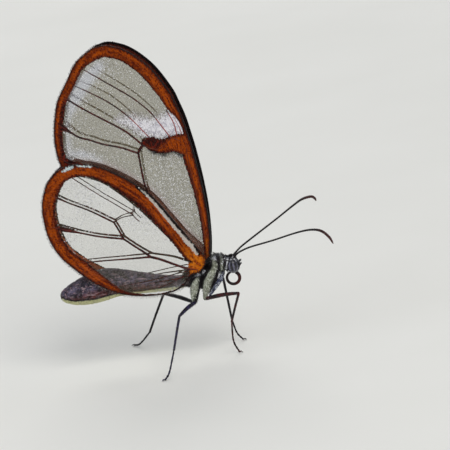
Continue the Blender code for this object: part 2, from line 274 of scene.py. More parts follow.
# %% Floor and lamps
FLOOR_SIZE = 8.0
SKY_COLOUR, SKY_STRENGTH = (0.86, 0.9, 0.95, 1), 0.38
bpy.ops.mesh.primitive_plane_add(size=FLOOR_SIZE)
floor = named("floor")
world = bpy.data.worlds.new("soft_day")
world.use_nodes = True
world.node_tree.nodes["Background"].inputs["Color"].default_value = SKY_COLOUR
world.node_tree.nodes["Background"].inputs["Strength"].default_value = SKY_STRENGTH
bpy.context.scene.world = world
LAMPS = [  # name, place in metres, size, watts, colour
    ("key_lamp", (0.22, -0.38, 0.52), 0.40, 2.3, (1.0, 0.97, 0.92)),
    ("fill_lamp", (-0.45, -0.25, 0.30), 0.45, 0.6, (0.9, 0.95, 1.0)),
    ("back_lamp", (-0.10, 0.45, 0.42), 0.40, 1.2, (1.0, 0.98, 0.95)),
]
for name, place, size, watts, colour in LAMPS:
    bpy.ops.object.light_add(type="AREA", location=place)
    lamp = named(name)
    lamp.data.size = size
    lamp.data.energy = watts
    lamp.data.color = colour
    lamp.rotation_euler = (AIM - Vector(place)).to_track_quat("-Z", "Y").to_euler()
print("lamps:", len(LAMPS))

# %% [markdown]
# ## A short way to write materials
# A material is a set of small steps wired together. The helper below adds one step at a time and gives
# back its output, so a pattern reads like a sum. Colours are given as a screen shows them, from 0 to
# 255, and turned into the light values that a shader needs.

# %% Screen colours
def light_of(red, green, blue):
    """The linear colour of a screen colour."""
    parts = [c / 255 for c in (red, green, blue)]
    return tuple(c / 12.92 if c <= 0.04045 else ((c + 0.055) / 1.055) ** 2.4 for c in parts) + (1.0,)


print("mid grey as light:", round(light_of(128, 128, 128)[0], 3))


# %% The steps of a material
class Steps:
    """Adds nodes to one tree and returns their outputs."""

    def __init__(self, tree):
        self.tree = tree

    def wire(self, value, socket):
        """Links an output to a socket, or sets the socket to a number or a colour."""
        if isinstance(value, bpy.types.NodeSocket):
            self.tree.links.new(value, socket)
        else:
            socket.default_value = value

    def node(self, kind, inputs=(), **settings):
        made = self.tree.nodes.new(kind)
        for key, value in settings.items():
            setattr(made, key, value)
        for key, value in dict(inputs).items():
            self.wire(value, made.inputs[key])
        return made

    def place(self):
        return self.node("ShaderNodeTexCoord").outputs["Object"]

    def mark(self, name):
        return self.node("ShaderNodeAttribute", attribute_name=name).outputs["Fac"]

    def height(self):
        return self.node("ShaderNodeSeparateXYZ", {"Vector": self.place()}).outputs["Z"]

    def math(self, operation, a, b=0.0):
        return self.node("ShaderNodeMath", {0: a, 1: b}, operation=operation).outputs[0]

    def plus(self, a, b):
        return self.math("ADD", a, b)

    def minus(self, a, b):
        return self.math("SUBTRACT", a, b)

    def times(self, a, b):
        return self.math("MULTIPLY", a, b)

    def larger(self, a, b):
        return self.math("MAXIMUM", a, b)

    def sine(self, a):
        return self.math("SINE", a)

    def noise(self, scale, detail=2.0, place=None):
        """Noise from 0 to 1. A scale of 5000 to the metre gives grains a fifth of a millimetre wide."""
        inputs = {"Vector": place or self.place(), "Scale": scale, "Detail": detail, "Roughness": 0.55}
        return self.node("ShaderNodeTexNoise", inputs).outputs["Fac"]

    def streaks(self, across, along):
        """Noise drawn out along a wing's edge: fine across it, and long beside it."""
        split = self.node("ShaderNodeSeparateXYZ", {"Vector": self.place()}).outputs
        inputs = {"X": self.times(self.mark("rim"), across)}
        inputs["Y"] = self.times(split["X"], along)
        inputs["Z"] = self.times(split["Z"], along)
        return self.noise(1.0, 3.0, self.node("ShaderNodeCombineXYZ", inputs).outputs["Vector"])

    def step(self, value, low, high):
        """0 below low and 1 above high, smooth between. With low above high it runs the other way."""
        inputs = {"Value": value, "From Min": low, "From Max": high}
        return self.node("ShaderNodeMapRange", inputs, interpolation_type="SMOOTHSTEP").outputs["Result"]

    def by_mark(self, name, low, high, rough=0.0):
        """A step on a mark. rough, a noise in millimetres, breaks up its edge."""
        return self.step(self.plus(self.mark(name), rough), low, high)

    def blotches(self, scale, detail, low, high):
        """A step on noise."""
        return self.step(self.noise(scale, detail), low, high)

    def mix(self, share, a, b):
        """A colour between a and b, each an output or a screen colour: red, green, blue."""
        made = self.node("ShaderNodeMix", data_type="RGBA")
        for key, kind, value in (("Factor", "VALUE", share), ("A", "RGBA", a), ("B", "RGBA", b)):
            socket = next(s for s in made.inputs if s.name == key and s.type == kind)
            self.wire(light_of(*value) if isinstance(value, tuple) else value, socket)
        return next(s for s in made.outputs if s.type == "RGBA")

    def blend(self, share, a, b):
        """A number between a and b."""
        return self.node("ShaderNodeMix", {0: share, 2: a, 3: b}, data_type="FLOAT").outputs[0]

    def bump(self, height, distance, strength=1.0):
        inputs = {"Height": height, "Distance": distance, "Strength": strength}
        return self.node("ShaderNodeBump", inputs).outputs["Normal"]


print("kinds of step:", len([name for name in vars(Steps) if name[0] != "_"]))


# %% Groups and materials
def new_group(name, inputs, outputs):
    """An empty node group with number inputs and the outputs named."""
    tree = bpy.data.node_groups.new(name, "ShaderNodeTree")
    for key, value in inputs.items():
        tree.interface.new_socket(key, in_out="INPUT", socket_type="NodeSocketFloat").default_value = value
    for key, kind in outputs.items():
        tree.interface.new_socket(key, in_out="OUTPUT", socket_type=kind)
    steps = Steps(tree)
    return steps, steps.node("NodeGroupInput").outputs, steps.node("NodeGroupOutput").inputs


def new_material(name, roughness, gloss=0.25):
    """A material with one Principled shader, its steps and that shader's inputs."""
    material = bpy.data.materials.new(name)
    material.use_nodes = True
    shader = material.node_tree.nodes["Principled BSDF"]
    shader.inputs["Roughness"].default_value = roughness
    shader.inputs["Specular IOR Level"].default_value = gloss
    return material, Steps(material.node_tree), shader.inputs


def wire_up(steps, sockets, **values):
    """Wires outputs to a shader's inputs by name."""
    for key, value in values.items():
        steps.tree.links.new(value, sockets[key.replace("_", " ")])


print("material helpers ready")

# %% [markdown]
# ## The floor's finish
# A plain pale card would do as a floor. A little noise in its tone keeps it from looking like an empty
# picture, and it stays so faint that it never draws the eye from the wings.

# %% Floor material
floor_material, steps, shader = new_material("pale_floor", 0.85)
wire_up(steps, shader, Base_Color=steps.mix(steps.noise(30.0), (226, 226, 222), (234, 234, 231)))
floor.data.materials.append(floor_material)
print("materials so far:", len(bpy.data.materials))

# %% [markdown]
# ## The wings: outline
# A butterfly's wing is a film far thinner than paper, held flat by veins. Four measured points could
# never give its outline, so each edge is a smooth line through the places where its bend changes. With
# each place go the width of the amber band there and of the dark strip on its inner side.

# %% Wing outlines
# Each place: x, z, width of the amber band, width of the dark strip inside it
FORE_FRONT = [(1.7, 12.25, 0.5, 0.08), (2.1, 14.6, 0.74, 0.12), (2.3, 18.0, 0.88, 0.15),
              (2.2, 21.6, 1.05, 0.18), (1.9, 25.2, 1.15, 0.15), (1.63, 27.2, 0.42, 0.03),
              (1.3, 29.3, 0.55, 0.03), (0.8, 31.2, 1.15, 0.04), (0.2, 33.0, 1.3, 0.06),
              (-1.5, 36.0, 1.34, 0.06), (-3.8, 38.3, 1.33, 0.04), (-6.2, 39.35, 1.35, 0.04),
              (-7.9, 39.15, 1.3, 0.04)]
FORE_REAR = [(0.1, 11.95, 0.1, 0.0), (-1.2, 12.75, 0.15, 0.05), (-3.5, 15.95, 0.25, 0.12),
             (-6.1, 19.45, 0.34, 0.25), (-9.2, 22.65, 0.34, 0.3), (-11.5, 23.85, 0.32, 0.25),
             (-13.4, 24.6, 0.4, 0.3), (-14.15, 26.0, 0.55, 0.35), (-14.3, 28.3, 0.68, 0.3),
             (-14.0, 30.4, 0.72, 0.3), (-13.3, 32.8, 0.78, 0.3), (-12.7, 34.0, 0.92, 0.08),
             (-11.5, 35.7, 0.98, 0.05), (-10.0, 37.8, 1.05, 0.04), (-7.9, 39.15, 1.3, 0.04)]
HIND_FRONT = [(1.05, 11.5, 1.9, 0.1), (1.35, 12.2, 1.9, 0.12), (0.98, 12.9, 1.8, 0.15),
              (-0.42, 14.95, 1.66, 0.2), (-2.05, 17.65, 1.68, 0.25), (-3.8, 20.45, 1.75, 0.3),
              (-5.95, 22.6, 1.6, 0.28), (-8.2, 24.25, 1.45, 0.18), (-10.4, 25.35, 1.4, 0.08),
              (-12.6, 25.65, 1.42, 0.05), (-14.6, 25.15, 1.5, 0.05), (-16.2, 23.7, 1.62, 0.08)]
HIND_REAR = [(1.05, 11.5, 1.9, 0.1), (0.62, 10.93, 1.8, 0.1), (0.0, 10.66, 1.5, 0.08),
             (-0.55, 10.62, 1.25, 0.08), (-0.75, 10.5, 0.12, 0.05), (-1.15, 10.15, 0.12, 0.05),
             (-1.9, 9.4, 0.12, 0.04), (-3.3, 8.85, 0.12, 0.04), (-6.0, 8.75, 0.14, 0.05),
             (-9.1, 9.35, 0.4, 0.06), (-11.6, 10.65, 1.1, 0.06), (-14.0, 12.45, 1.38, 0.08),
             (-15.9, 14.35, 1.4, 0.1), (-17.0, 16.7, 1.4, 0.14), (-17.3, 19.2, 1.38, 0.14),
             (-17.1, 21.5, 1.5, 0.1), (-16.2, 23.7, 1.62, 0.08)]
EDGE_STEP = 0.3


def closed_edge(front, rear):
    """Both edges of a wing as one line of samples round it."""
    return np.vstack([smooth_line(front, EDGE_STEP, 2)[:-1], smooth_line(rear, EDGE_STEP, 2)[::-1]])


fore_edge, hind_edge = closed_edge(FORE_FRONT, FORE_REAR), closed_edge(HIND_FRONT, HIND_REAR)
print("edge samples:", len(fore_edge), "fore,", len(hind_edge), "hind")

# %% [markdown]
# ## The wings: veins
# Veins are hollow rods that carry blood when the wing first opens. Each is a line of places with its
# half thickness, and lines that meet share a place. The last number is how far the dark scales
# reach on either side of it: they spread where a vein runs into the amber band.

# %% Forewing veins
# Places where several veins meet: x, z
CELL_TOP, CELL_LOW, BAR_TOP, CUBITAL = (-3.9, 26.8), (-4.6, 25.9), (-0.4, 27.1), (-4.2, 20.1)
# Each place: x, z, half thickness, reach of the dark scales
FORE_VEINS = [
    [(-9.6, 37.2, 0.038, 0), (-7.4, 35.5, 0.053, 0.01), (-5.1, 33.6, 0.06, 0.013),
     (-3.8, 32.4, 0.06, 0.013), (-2.3, 30.6, 0.06, 0.007), (-1.4, 29.0, 0.062, 0), (*BAR_TOP, 0.06, 0)],
    [(-11.2, 35.5, 0.038, 0), (-8.9, 34.1, 0.053, 0.01), (-6.8, 32.5, 0.06, 0.013),
     (-4.8, 30.3, 0.056, 0.007), (-2.9, 27.5, 0.056, 0)],
    [(-12.4, 34.0, 0.045, 0.05), (-12.1, 33.8, 0.06, 0.16), (-11.6, 33.5, 0.068, 0.05),
     (-10.4, 32.5, 0.075, 0.015), (-8.3, 30.9, 0.083, 0.015), (-6.0, 29.1, 0.083, 0.015),
     (-5.0, 28.1, 0.083, 0.015), (*CELL_TOP, 0.083, 0.02)],
    [(-13.7, 31.0, 0.045, 0.2), (-13.0, 30.3, 0.068, 0.28), (-12.2, 29.6, 0.075, 0.06),
     (-11.2, 28.8, 0.083, 0.018), (-10.0, 28.3, 0.083, 0.015), (-8.6, 27.6, 0.083, 0.015),
     (-6.6, 26.9, 0.083, 0.015), (*CELL_LOW, 0.09, 0.02)],
    [(*CELL_TOP, 0.09, 0.025), (-4.3, 26.4, 0.09, 0.05), (*CELL_LOW, 0.09, 0.025)],
    [(*CELL_TOP, 0.075, 0.013), (-3.1, 26.3, 0.075, 0), (-1.9, 26.1, 0.075, 0), (*BAR_TOP, 0.068, 0),
     (0.6, 26.7, 0.06, 0)],
    [(*CELL_LOW, 0.09, 0.02), (-4.6, 24.3, 0.09, 0.018), (-4.55, 22.1, 0.09, 0.018),
     (*CUBITAL, 0.09, 0.018)],
    [(-13.9, 26.6, 0.045, 0.35), (-13.0, 25.8, 0.06, 0.4), (-11.6, 25.5, 0.06, 0.05),
     (-9.2, 24.6, 0.06, 0.02), (-7.3, 23.1, 0.068, 0.02), (-5.8, 21.6, 0.075, 0.02),
     (*CUBITAL, 0.085, 0.02), (-3.3, 18.5, 0.085, 0.03), (-2.0, 16.3, 0.085, 0.02),
     (-0.9, 14.3, 0.075, 0), (0.5, 12.3, 0.05, 0)],
    [(1.2, 26.6, 0.053, 0), (1.15, 24.0, 0.068, 0), (1.35, 20.9, 0.075, 0), (1.5, 17.5, 0.083, 0),
     (1.45, 14.8, 0.085, 0), (1.35, 12.4, 0.05, 0)],
    [(-0.1, 15.6, 0.012, -0.2), (0.5, 14.3, 0.02, -0.2), (0.95, 12.7, 0.03, -0.2)],
    [(0.5, 17.5, 0.01, -0.2), (0.85, 15.4, 0.016, -0.2), (1.1, 12.9, 0.03, -0.2)],
    [(-0.4, 30.6, 0.05, 0), (0.2, 28.9, 0.062, 0), (0.35, 27.0, 0.062, 0)],
    [(0.3, 29.7, 0.04, 0), (0.75, 28.4, 0.045, 0), (0.95, 27.1, 0.045, 0)],
]
print("forewing veins:", len(FORE_VEINS))

# %% Hindwing veins
CELL_UPPER, CELL_MIDDLE, CELL_REAR, DISC = (-9.0, 18.0), (-8.2, 15.8), (-5.3, 13.2), (-6.5, 18.6)
HIND_VEINS = [
    [(-16.0, 22.3, 0.038, 0.05), (-15.3, 22.0, 0.053, 0.07), (-13.9, 21.1, 0.06, 0.015),
     (-11.6, 19.8, 0.068, 0.013), (*CELL_UPPER, 0.075, 0.018)],
    [(-16.5, 18.5, 0.045, 0.07), (-15.5, 18.1, 0.068, 0.2), (-13.3, 17.3, 0.075, 0.015),
     (-11.0, 16.5, 0.075, 0.013), (*CELL_MIDDLE, 0.075, 0.018)],
    [(*CELL_UPPER, 0.075, 0.018), (-8.6, 17.0, 0.075, 0.015), (*CELL_MIDDLE, 0.083, 0.02)],
    [(*CELL_MIDDLE, 0.083, 0.02), (-6.8, 14.5, 0.083, 0.015), (*CELL_REAR, 0.09, 0.02)],
    [(*CELL_REAR, 0.09, 0.02), (-4.2, 12.8, 0.09, 0.018), (-3.0, 12.3, 0.09, 0.018),
     (-1.4, 11.5, 0.098, 0.02), (-0.5, 11.2, 0.09, 0.02), (0.2, 11.05, 0.03, 0)],
    [(-14.2, 13.7, 0.04, 0), (-13.2, 13.6, 0.045, 0.015), (-10.9, 13.5, 0.053, 0.007),
     (-8.4, 13.35, 0.06, 0.01), (*CELL_REAR, 0.075, 0.018)],
    [(-13.6, 24.7, 0.03, 0), (-13.0, 24.2, 0.04, 0.007), (-10.2, 21.7, 0.038, 0.005),
     (-8.4, 20.2, 0.041, 0.005), (*DISC, 0.045, 0.007)],
    [(*CELL_UPPER, 0.06, 0.01), (-7.9, 18.45, 0.041, 0.005), (*DISC, 0.041, 0.007)],
    [(-6.25, 19.75, 0.03, 0), (*DISC, 0.041, 0.007), (-5.9, 17.7, 0.04, 0)],
    [(-9.4, 10.4, 0.03, 0), (-6.0, 10.6, 0.04, 0), (-3.0, 10.9, 0.038, 0), (-1.0, 11.05, 0.045, 0),
     (-0.2, 11.1, 0.02, 0)],
    [(-8.4, 9.5, 0.03, 0), (-5.4, 9.55, 0.04, 0), (-2.8, 10.1, 0.038, 0), (-1.0, 10.8, 0.045, 0),
     (-0.2, 10.9, 0.02, 0)],
    [(-6.2, 10.26, 0.02, 0), (-4.6, 10.29, 0.05, 0), (-3.0, 10.32, 0.06, 0), (-1.6, 10.4, 0.06, 0),
     (-0.6, 10.6, 0.04, 0)],
]
print("hindwing veins:", len(HIND_VEINS))

# %% Vein lines
# Small scales lie on the rods, so a vein looks fuller than the bare rod.
FORE_FULLER, HIND_FULLER = 1.14, 1.28
VEIN_STEP = 0.3


def vein_lines(veins, fuller):
    lines = []
    for vein in veins:
        places = [(x, z, fuller * half, reach) for x, z, half, reach in vein]
        lines.append(smooth_line(places, VEIN_STEP, 2))
    return lines


fore_veins, hind_veins = vein_lines(FORE_VEINS, FORE_FULLER), vein_lines(HIND_VEINS, HIND_FULLER)
print("vein samples:", sum(map(len, fore_veins)), "fore,", sum(map(len, hind_veins)), "hind")

# %% [markdown]
# ## The wings: how far apart they rest
# Closed wings are never quite flat against each other. The forewings lie nearest the middle and bulge
# near the tip. The hindwings lie outside them, spread round the abdomen below, and reach the
# widest part of the thorax at their roots. The two functions give that distance from the middle plane.

# %% Resting spread
FORE_HINGE, HIND_HINGE = (0.9, 11.7), (-0.3, 11.6)
LEFT_LEAD = math.radians(0.9)


def above_rear_edge(x, z):
    """How far a place is above the forewing's rear edge, negative below it: the distance to a straight
    line through the root, and a little more where the real edge sags away from that line."""
    return ((x - 0.3) * 13.2 + (z - 12.3) * 12.3) / 18.04 + 1.3 * ease((-x - 8.0) / 6.0)


def fore_spread(x, z):
    spread = 0.33 + 0.2 * ease((above_rear_edge(x, z) - 1.5) / 5.0)
    spread += 0.65 * np.exp(-(np.hypot(x - FORE_HINGE[0], z - FORE_HINGE[1]) / 2.2) ** 2)
    return spread + 0.6 * np.exp(-(np.hypot(x + 8.0, z - 33.6) / 4.2) ** 2)


def hind_spread(x, z):
    over_forewing = 0.26 * ease((above_rear_edge(x, z) + 2.6) / 2.4)
    round_abdomen = 1.34 * ease((14.2 - z) / 3.6)
    spread = 0.6 + (over_forewing**4 + round_abdomen**4) ** 0.25
    near_hinge = ease((4.5 - np.hypot(x - HIND_HINGE[0], z - HIND_HINGE[1])) / 3.3)
    return spread + (1.62 - spread) * near_hinge


print("spread at the forewing's bulge, mm:", round(float(fore_spread(-8.0, 33.6)), 2))

# %% [markdown]
# ## The wings: the film
# The film starts as a flat grid. Its rows are pulled between the front edge and the rear edge, so the
# mesh flows from root to tip as the real veins do, and a thin solidify gives it two faces. A filled
# outline would have been quicker, but its long triangles would show in the gloss.

# %% Wing film
FILM_THICK = 0.06
ROWS_ALONG, ROWS_ACROSS = 180, 96


def at_share(line, share):
    """Samples of a line at shares of its length."""
    walked = walked_along(line, 2)
    return np.stack([np.interp(share * walked[-1], walked, line[:, i]) for i in range(2)], axis=1)


def wing_film(name, front, rear, spread):
    bpy.ops.object.select_all(action="DESELECT")
    bpy.ops.mesh.primitive_grid_add(x_subdivisions=ROWS_ALONG, y_subdivisions=ROWS_ACROSS, size=1)
    film = named(name)
    grid = points_of(film) * MM
    share, across = grid[:, 0] + 0.5, (grid[:, 1] + 0.5)[:, None]
    fore, aft = (at_share(smooth_line(run, 0.1, 2), share) for run in (front, rear))
    flat = fore * (1 - across) + aft * across
    place_points(film, np.stack([flat[:, 0], -spread(flat[:, 0], flat[:, 1]), flat[:, 1]], axis=1))
    closed_and_turned_out(film)
    modified(film, "SOLIDIFY", thickness=FILM_THICK * MM, offset=0.0)
    return rounded(closed_and_turned_out(film), 40)


forewing = wing_film("forewing_film_right", FORE_FRONT, FORE_REAR, fore_spread)
hindwing = wing_film("hindwing_film_right", HIND_FRONT, HIND_REAR, hind_spread)
print("film faces:", len(forewing.data.polygons), len(hindwing.data.polygons))

# %% [markdown]
# ## The wings: marks on the film
# The pattern is not painted by hand. Each point of the film learns how far it is from the edge, the
# amber band, the veins, the brown bar at the end of the cell and the white patch. The material
# then decides what is amber, dark, white or clear.

# %% Places of the pattern
# The brown bar, its orange part, the white patch and the pale places: x, z, half width.
# Along the outer margin the pale places are a painted whitish sheen.
BAR = [(-4.0, 27.05, 0.05), (-3.5, 27.02, 0.5), (-2.9, 26.8, 0.78), (-2.3, 26.45, 0.8), (-1.65, 26.27, 0.84),
       (-0.95, 26.27, 0.82), (-0.3, 26.42, 0.95), (0.5, 26.3, 1.1), (1.3, 26.0, 1.25)]
BAR_ORANGE = [(-3.5, 26.7, 0.06), (-2.9, 26.13, 0.14), (-2.2, 25.9, 0.22), (-1.6, 26.0, 0.5),
              (-0.95, 26.2, 0.68), (-0.3, 26.35, 0.85), (0.5, 26.2, 1.1), (1.3, 26.0, 1.25)]
WHITE = [(-6.3, 30.2, 0.25), (-5.0, 29.9, 0.6), (-3.7, 29.2, 0.95), (-2.6, 28.7, 1.2), (-1.4, 28.55, 1.35),
         (-0.3, 28.7, 1.6), (0.7, 28.8, 1.6)]
MARGIN_SHEEN = [(-12.9, 26.2, 0.3), (-12.8, 27.6, 0.3), (-12.3, 30.9, 0.25), (-11.0, 33.4, 0.75),
               (-9.6, 35.2, 0.9), (-7.4, 37.0, 0.6)]
REAR_PALE = [(-12.7, 27.0, 0.35), (-11.7, 26.8, 0.5), (-10.5, 26.3, 0.4), (-9.2, 25.6, 0.15)]
HIND_STRIP = [(-5.3, 21.85, 0.02), (-4.45, 20.75, 0.11), (-3.47, 19.2, 0.15), (-2.37, 17.28, 0.17),
              (-1.36, 15.55, 0.18), (-0.83, 14.75, 0.23), (-0.25, 13.95, 0.24), (0.15, 13.2, 0.17),
              (0.35, 12.7, 0.04)]
ANAL_FOLD = [(-7.6, 9.1, 0.02), (-6.0, 9.1, 0.1), (-4.2, 9.15, 0.15), (-2.6, 9.4, 0.15), (-1.8, 9.75, 0.05)]
HIND_DASHES = [[(-13.85, 25.0, 0.1), (-13.2, 25.25, 0.18), (-12.6, 25.4, 0.12)],
               [(-12.05, 25.4, 0.06), (-10.4, 25.15, 0.1)]]
NONE = [(0.0, 90.0, 0.0), (1.0, 90.0, 0.0)]  # a patch too far away to show
FAR = 9.0  # further than any distance that a material asks for
HIND_ROOT = (0.2, 11.4)  # where the hindwing's band is brightest
print("places of the bar:", len(BAR), "of the white patch:", len(WHITE))


# %% Distances to the pattern
def patch_gap(places, *patches):
    """The distance to the nearest of several patches, negative inside one."""
    gaps = []
    for patch in patches:
        gap, half = nearest_on(smooth_line(patch, 0.15, 2), places, 2)
        gaps.append(gap - half[:, 0])
    return np.min(gaps, axis=0)


def wing_marks(places, edge, veins, bar, orange, white, pale, bare, dashes, hinge):
    """Distances in millimetres at places (x, z), negative inside the thing they measure."""
    rim, widths = nearest_on(edge, places, 2)
    band = rim - widths[:, 0]
    bar_gap, white_gap = patch_gap(places, bar), patch_gap(places, white)
    beside_vein = []
    for vein in veins:
        gap, sizes = nearest_on(vein, places, 2)
        beside_vein.append(gap - sizes[:, 0] - sizes[:, 1])
    bare_vein = np.where(white_gap < 0.1, 0.3, -1.0)
    beside_vein = np.maximum(np.min(beside_vein, axis=0), bare_vein)
    return {
        "rim": rim,
        "band": band,
        "orange": np.minimum(band, np.maximum(bar_gap, patch_gap(places, orange))),
        "scaly": np.minimum(bar_gap, band - widths[:, 1]),
        "vein": beside_vein,
        "white": white_gap,
        "pale": patch_gap(places, *pale),
        "bare": patch_gap(places, bare),
        "dash": patch_gap(places, *dashes),
        "root": np.hypot(places[:, 0] - hinge[0], places[:, 1] - hinge[1]),
    }


print("pattern helpers ready")


# %% Wing marks
def fore_marks(places):
    marks = wing_marks(places, fore_edge, fore_veins, BAR, BAR_ORANGE, WHITE, [MARGIN_SHEEN, REAR_PALE],
                       NONE, [NONE], FORE_HINGE)
    return {**marks, "beside_hindwing": nearest_on(hind_edge, places, 2)[0]}


def hind_marks(places):
    marks = wing_marks(places, hind_edge, hind_veins, NONE, NONE, NONE, [ANAL_FOLD], HIND_STRIP,
                       HIND_DASHES, HIND_ROOT)
    return {**marks, "beside_hindwing": np.full(len(places), FAR)}


mark_all(forewing, fore_marks(points_of(forewing)[:, [0, 2]]))
mark_all(hindwing, hind_marks(points_of(hindwing)[:, [0, 2]]))
print("marks on the forewing:", [a.name for a in forewing.data.attributes if a.data_type == "FLOAT"])

# %% [markdown]
# ## The wings: their colours
# Seen from outside the band is orange-brown, darker along its two edges. Seen from inside, as the far
# wings are, a forewing's band is maroon with a black rim, and a hindwing's is brown, with plum high on
# its front edge. The film and the scales on it could each have their own colours, but these would
# drift apart, so one group gives them to both.

# %% Band colours from outside
g, given, wanted = new_group("band_tones", {"Tone": 0.5, "Inner": 0.0}, {"Colour": "NodeSocketColor"})
coarse = g.minus(g.noise(2400.0, 3.0), 0.5)
slight = g.times(coarse, 0.14)
streak = g.step(g.plus(g.streaks(7.0, 500.0), g.times(given["Tone"], 0.16)), 0.42, 0.7)
orange_tone = g.mix(streak, (84, 20, 0), (166, 71, 0))
near_root = g.times(g.by_mark("root", 3.4, 1.4), g.blotches(2200.0, 3.0, 0.3, 0.62))
orange_tone = g.mix(near_root, orange_tone, (206, 112, 8))
maroon = g.mix(given["Tone"], (40, 8, 3), (88, 22, 4))
outer_share = g.times(g.by_mark("rim", 0.44, 0.2, slight), 0.85)
orange_tone = g.mix(outer_share, orange_tone, maroon)
inner_share = g.times(g.by_mark("orange", -0.3, -0.04, slight), 0.85)
orange_tone = g.mix(inner_share, orange_tone, maroon)
dark_tone = g.mix(given["Tone"], (13, 4, 4), (62, 16, 9))
reddish = g.times(g.blotches(4200.0, 2.0, 0.54, 0.64), 0.7)
dark_tone = g.mix(reddish, dark_tone, (122, 34, 16))
tone = g.mix(g.by_mark("orange", -0.01, 0.03, slight), orange_tone, dark_tone)
tone = g.mix(g.by_mark("rim", 0.17, 0.1, slight), tone, (10, 4, 5))
beside = g.times(g.by_mark("bare", 0.3, 0.2), g.by_mark("rim", 0.55, 0.45))
tone = g.mix(beside, tone, (18, 6, 6))
tone = g.mix(g.by_mark("bare", 0.05, -0.04, slight), tone,
             g.mix(given["Tone"], (196, 190, 178), (232, 230, 224)))
print("steps for the outer colours:", len(g.tree.nodes))

# %% Band colours from inside
inner_tone = g.mix(given["Tone"], (48, 18, 14), (104, 46, 32))
inner_tone = g.mix(g.by_mark("rim", 0.44, 0.3, slight), inner_tone, (14, 7, 8))
brown = g.mix(given["Tone"], (138, 46, 22), (216, 112, 64))
height = g.height()
far_front = g.times(g.by_mark("root", 8.5, 11.5), g.step(height, 0.0195, 0.0215))
brown = g.mix(far_front, brown, (46, 30, 52))
brown = g.mix(g.by_mark("rim", 0.16, 0.08, slight), brown, (62, 18, 20))
brown = g.mix(g.by_mark("orange", 0.0, 0.06), brown, (44, 16, 14))
inner_tone = g.mix(g.step(given["Inner"], 0.99, 0.92), inner_tone, brown)
tone = g.mix(given["Inner"], tone, inner_tone)
tone = g.mix(g.by_mark("dash", 0.04, -0.03, slight), tone,
             g.mix(given["Tone"], (168, 186, 190), (214, 226, 226)))
g.tree.links.new(tone, wanted["Colour"])
print("steps for all the band's colours:", len(g.tree.nodes))

# %% [markdown]
# ## The wings: where the film is clear
# Between its veins the real film is bare, apart from a haze of tiny bristles and some loose white scales
# that thicken into a patch near the tip. A second group turns the marks into masks: covered, white,
# pale, speckled or clear. Its edges are broken by noise as fine as the scales, because a clean line
# would look cut out with scissors.

# %% Film masks
KINDS = ["Grain", "Speck", "Pale", "White", "Covered", "Cover"]
g, given, wanted = new_group("film_masks", {"Haze": 0.3}, {kind: "NodeSocketFloat" for kind in KINDS})
coarse = g.minus(g.noise(2400.0, 3.0), 0.5)
grain = g.noise(7000.0, 1.5)
fine = g.noise(14000.0, 0.0)
ragged = g.plus(g.times(coarse, 0.3), g.times(g.minus(grain, 0.5), 0.3))
band = g.by_mark("band", 0.03, -0.03, g.times(ragged, 0.3))
scaly = g.by_mark("scaly", 0.04, -0.04, ragged)
vein = g.by_mark("vein", 0.02, -0.02, g.times(ragged, 0.2))
bare = g.by_mark("bare", 0.05, -0.03)
edge = g.by_mark("rim", 0.15, 0.09)
covered = g.larger(g.larger(band, scaly), g.larger(vein, edge))
unclear = g.times(bare, g.minus(1.0, edge))
dots = g.plus(g.times(g.minus(grain, 0.5), 3.0), g.times(g.minus(fine, 0.5), 1.6))
white = g.by_mark("white", 0.15, -0.45, dots)
pale = g.by_mark("pale", 0.35, -0.4, g.times(dots, 0.4))
height = g.height()
# Painted sheen: more white specks in the pale places and low on the wing, where a whitish sheen lies.
painted_sheen_specks = g.plus(g.times(pale, 0.12), g.times(g.step(height, 0.0275, 0.025), 0.1))
patches = g.step(g.plus(g.noise(260.0, 2.0), painted_sheen_specks), 0.5, 0.64)
haze = g.times(given["Haze"], g.blend(g.by_mark("beside_hindwing", 0.3, 0.6), 0.75, 1.0))
speck = g.times(g.blotches(11000.0, 1.5, 0.55, 0.66), g.times(patches, haze))
cover = g.times(haze, g.step(grain, -0.2, 0.8))
for more, share in ((pale, 0.24), (speck, 1.9), (white, 0.85)):
    cover = g.larger(cover, g.times(more, share))
cover = g.larger(cover, covered)
cover = g.times(cover, g.minus(1.0, g.times(unclear, 0.35)))
for kind, value in zip(KINDS, (grain, speck, pale, white, covered, cover)):
    g.tree.links.new(value, wanted[kind])
print("steps for the film's masks:", len(g.tree.nodes))

# %% [markdown]
# ## The wings: the film's finish
# A glass shader would bend what lies behind each wing and take long to render. So the film is a plain
# finish that its alpha makes see-through where it is clear and solid where scales cover it. Each wing
# has one finish for its outer face and one for its inner face.

# %% Film material
def film_material(name, haze, inner):
    material, steps, shader = new_material(name, 0.4)
    masks = steps.node("ShaderNodeGroup", {}, node_tree=bpy.data.node_groups["film_masks"])
    masks.inputs["Haze"].default_value = haze
    tones = steps.node("ShaderNodeGroup", {}, node_tree=bpy.data.node_groups["band_tones"])
    tones.inputs["Inner"].default_value = inner
    out = masks.outputs
    steps.tree.links.new(out["Grain"], tones.inputs["Tone"])
    colour = steps.mix(out["Grain"], (98, 93, 72), (168, 162, 136))
    # Beside the hindwing's edge the clear film is painted brown: a painted shadow of the hindwing and of its
    # brown band behind it.
    beside = steps.times(steps.by_mark("beside_hindwing", 0.95, 0.5), 0.75)
    colour = steps.mix(beside, colour, (116, 60, 46))
    # The pale places are painted whitish; along the forewing's outer margin that is a painted sheen.
    colour = steps.mix(out["Pale"], colour, (190, 192, 200))
    cloudy = steps.blotches(2600.0, 3.0, 0.4, 0.62)
    white = steps.mix(cloudy, (194, 190, 202), (241, 238, 244))
    colour = steps.mix(out["White"], colour, white)
    colour = steps.mix(out["Speck"], colour, (240, 240, 236))
    colour = steps.mix(out["Covered"], colour, tones.outputs["Colour"])
    height = steps.plus(steps.times(out["Covered"], 0.6), steps.noise(5200.0, 2.0))
    wire_up(steps, shader, Base_Color=colour, Alpha=out["Cover"], Normal=steps.bump(height, 0.02 * MM, 0.5))
    return material


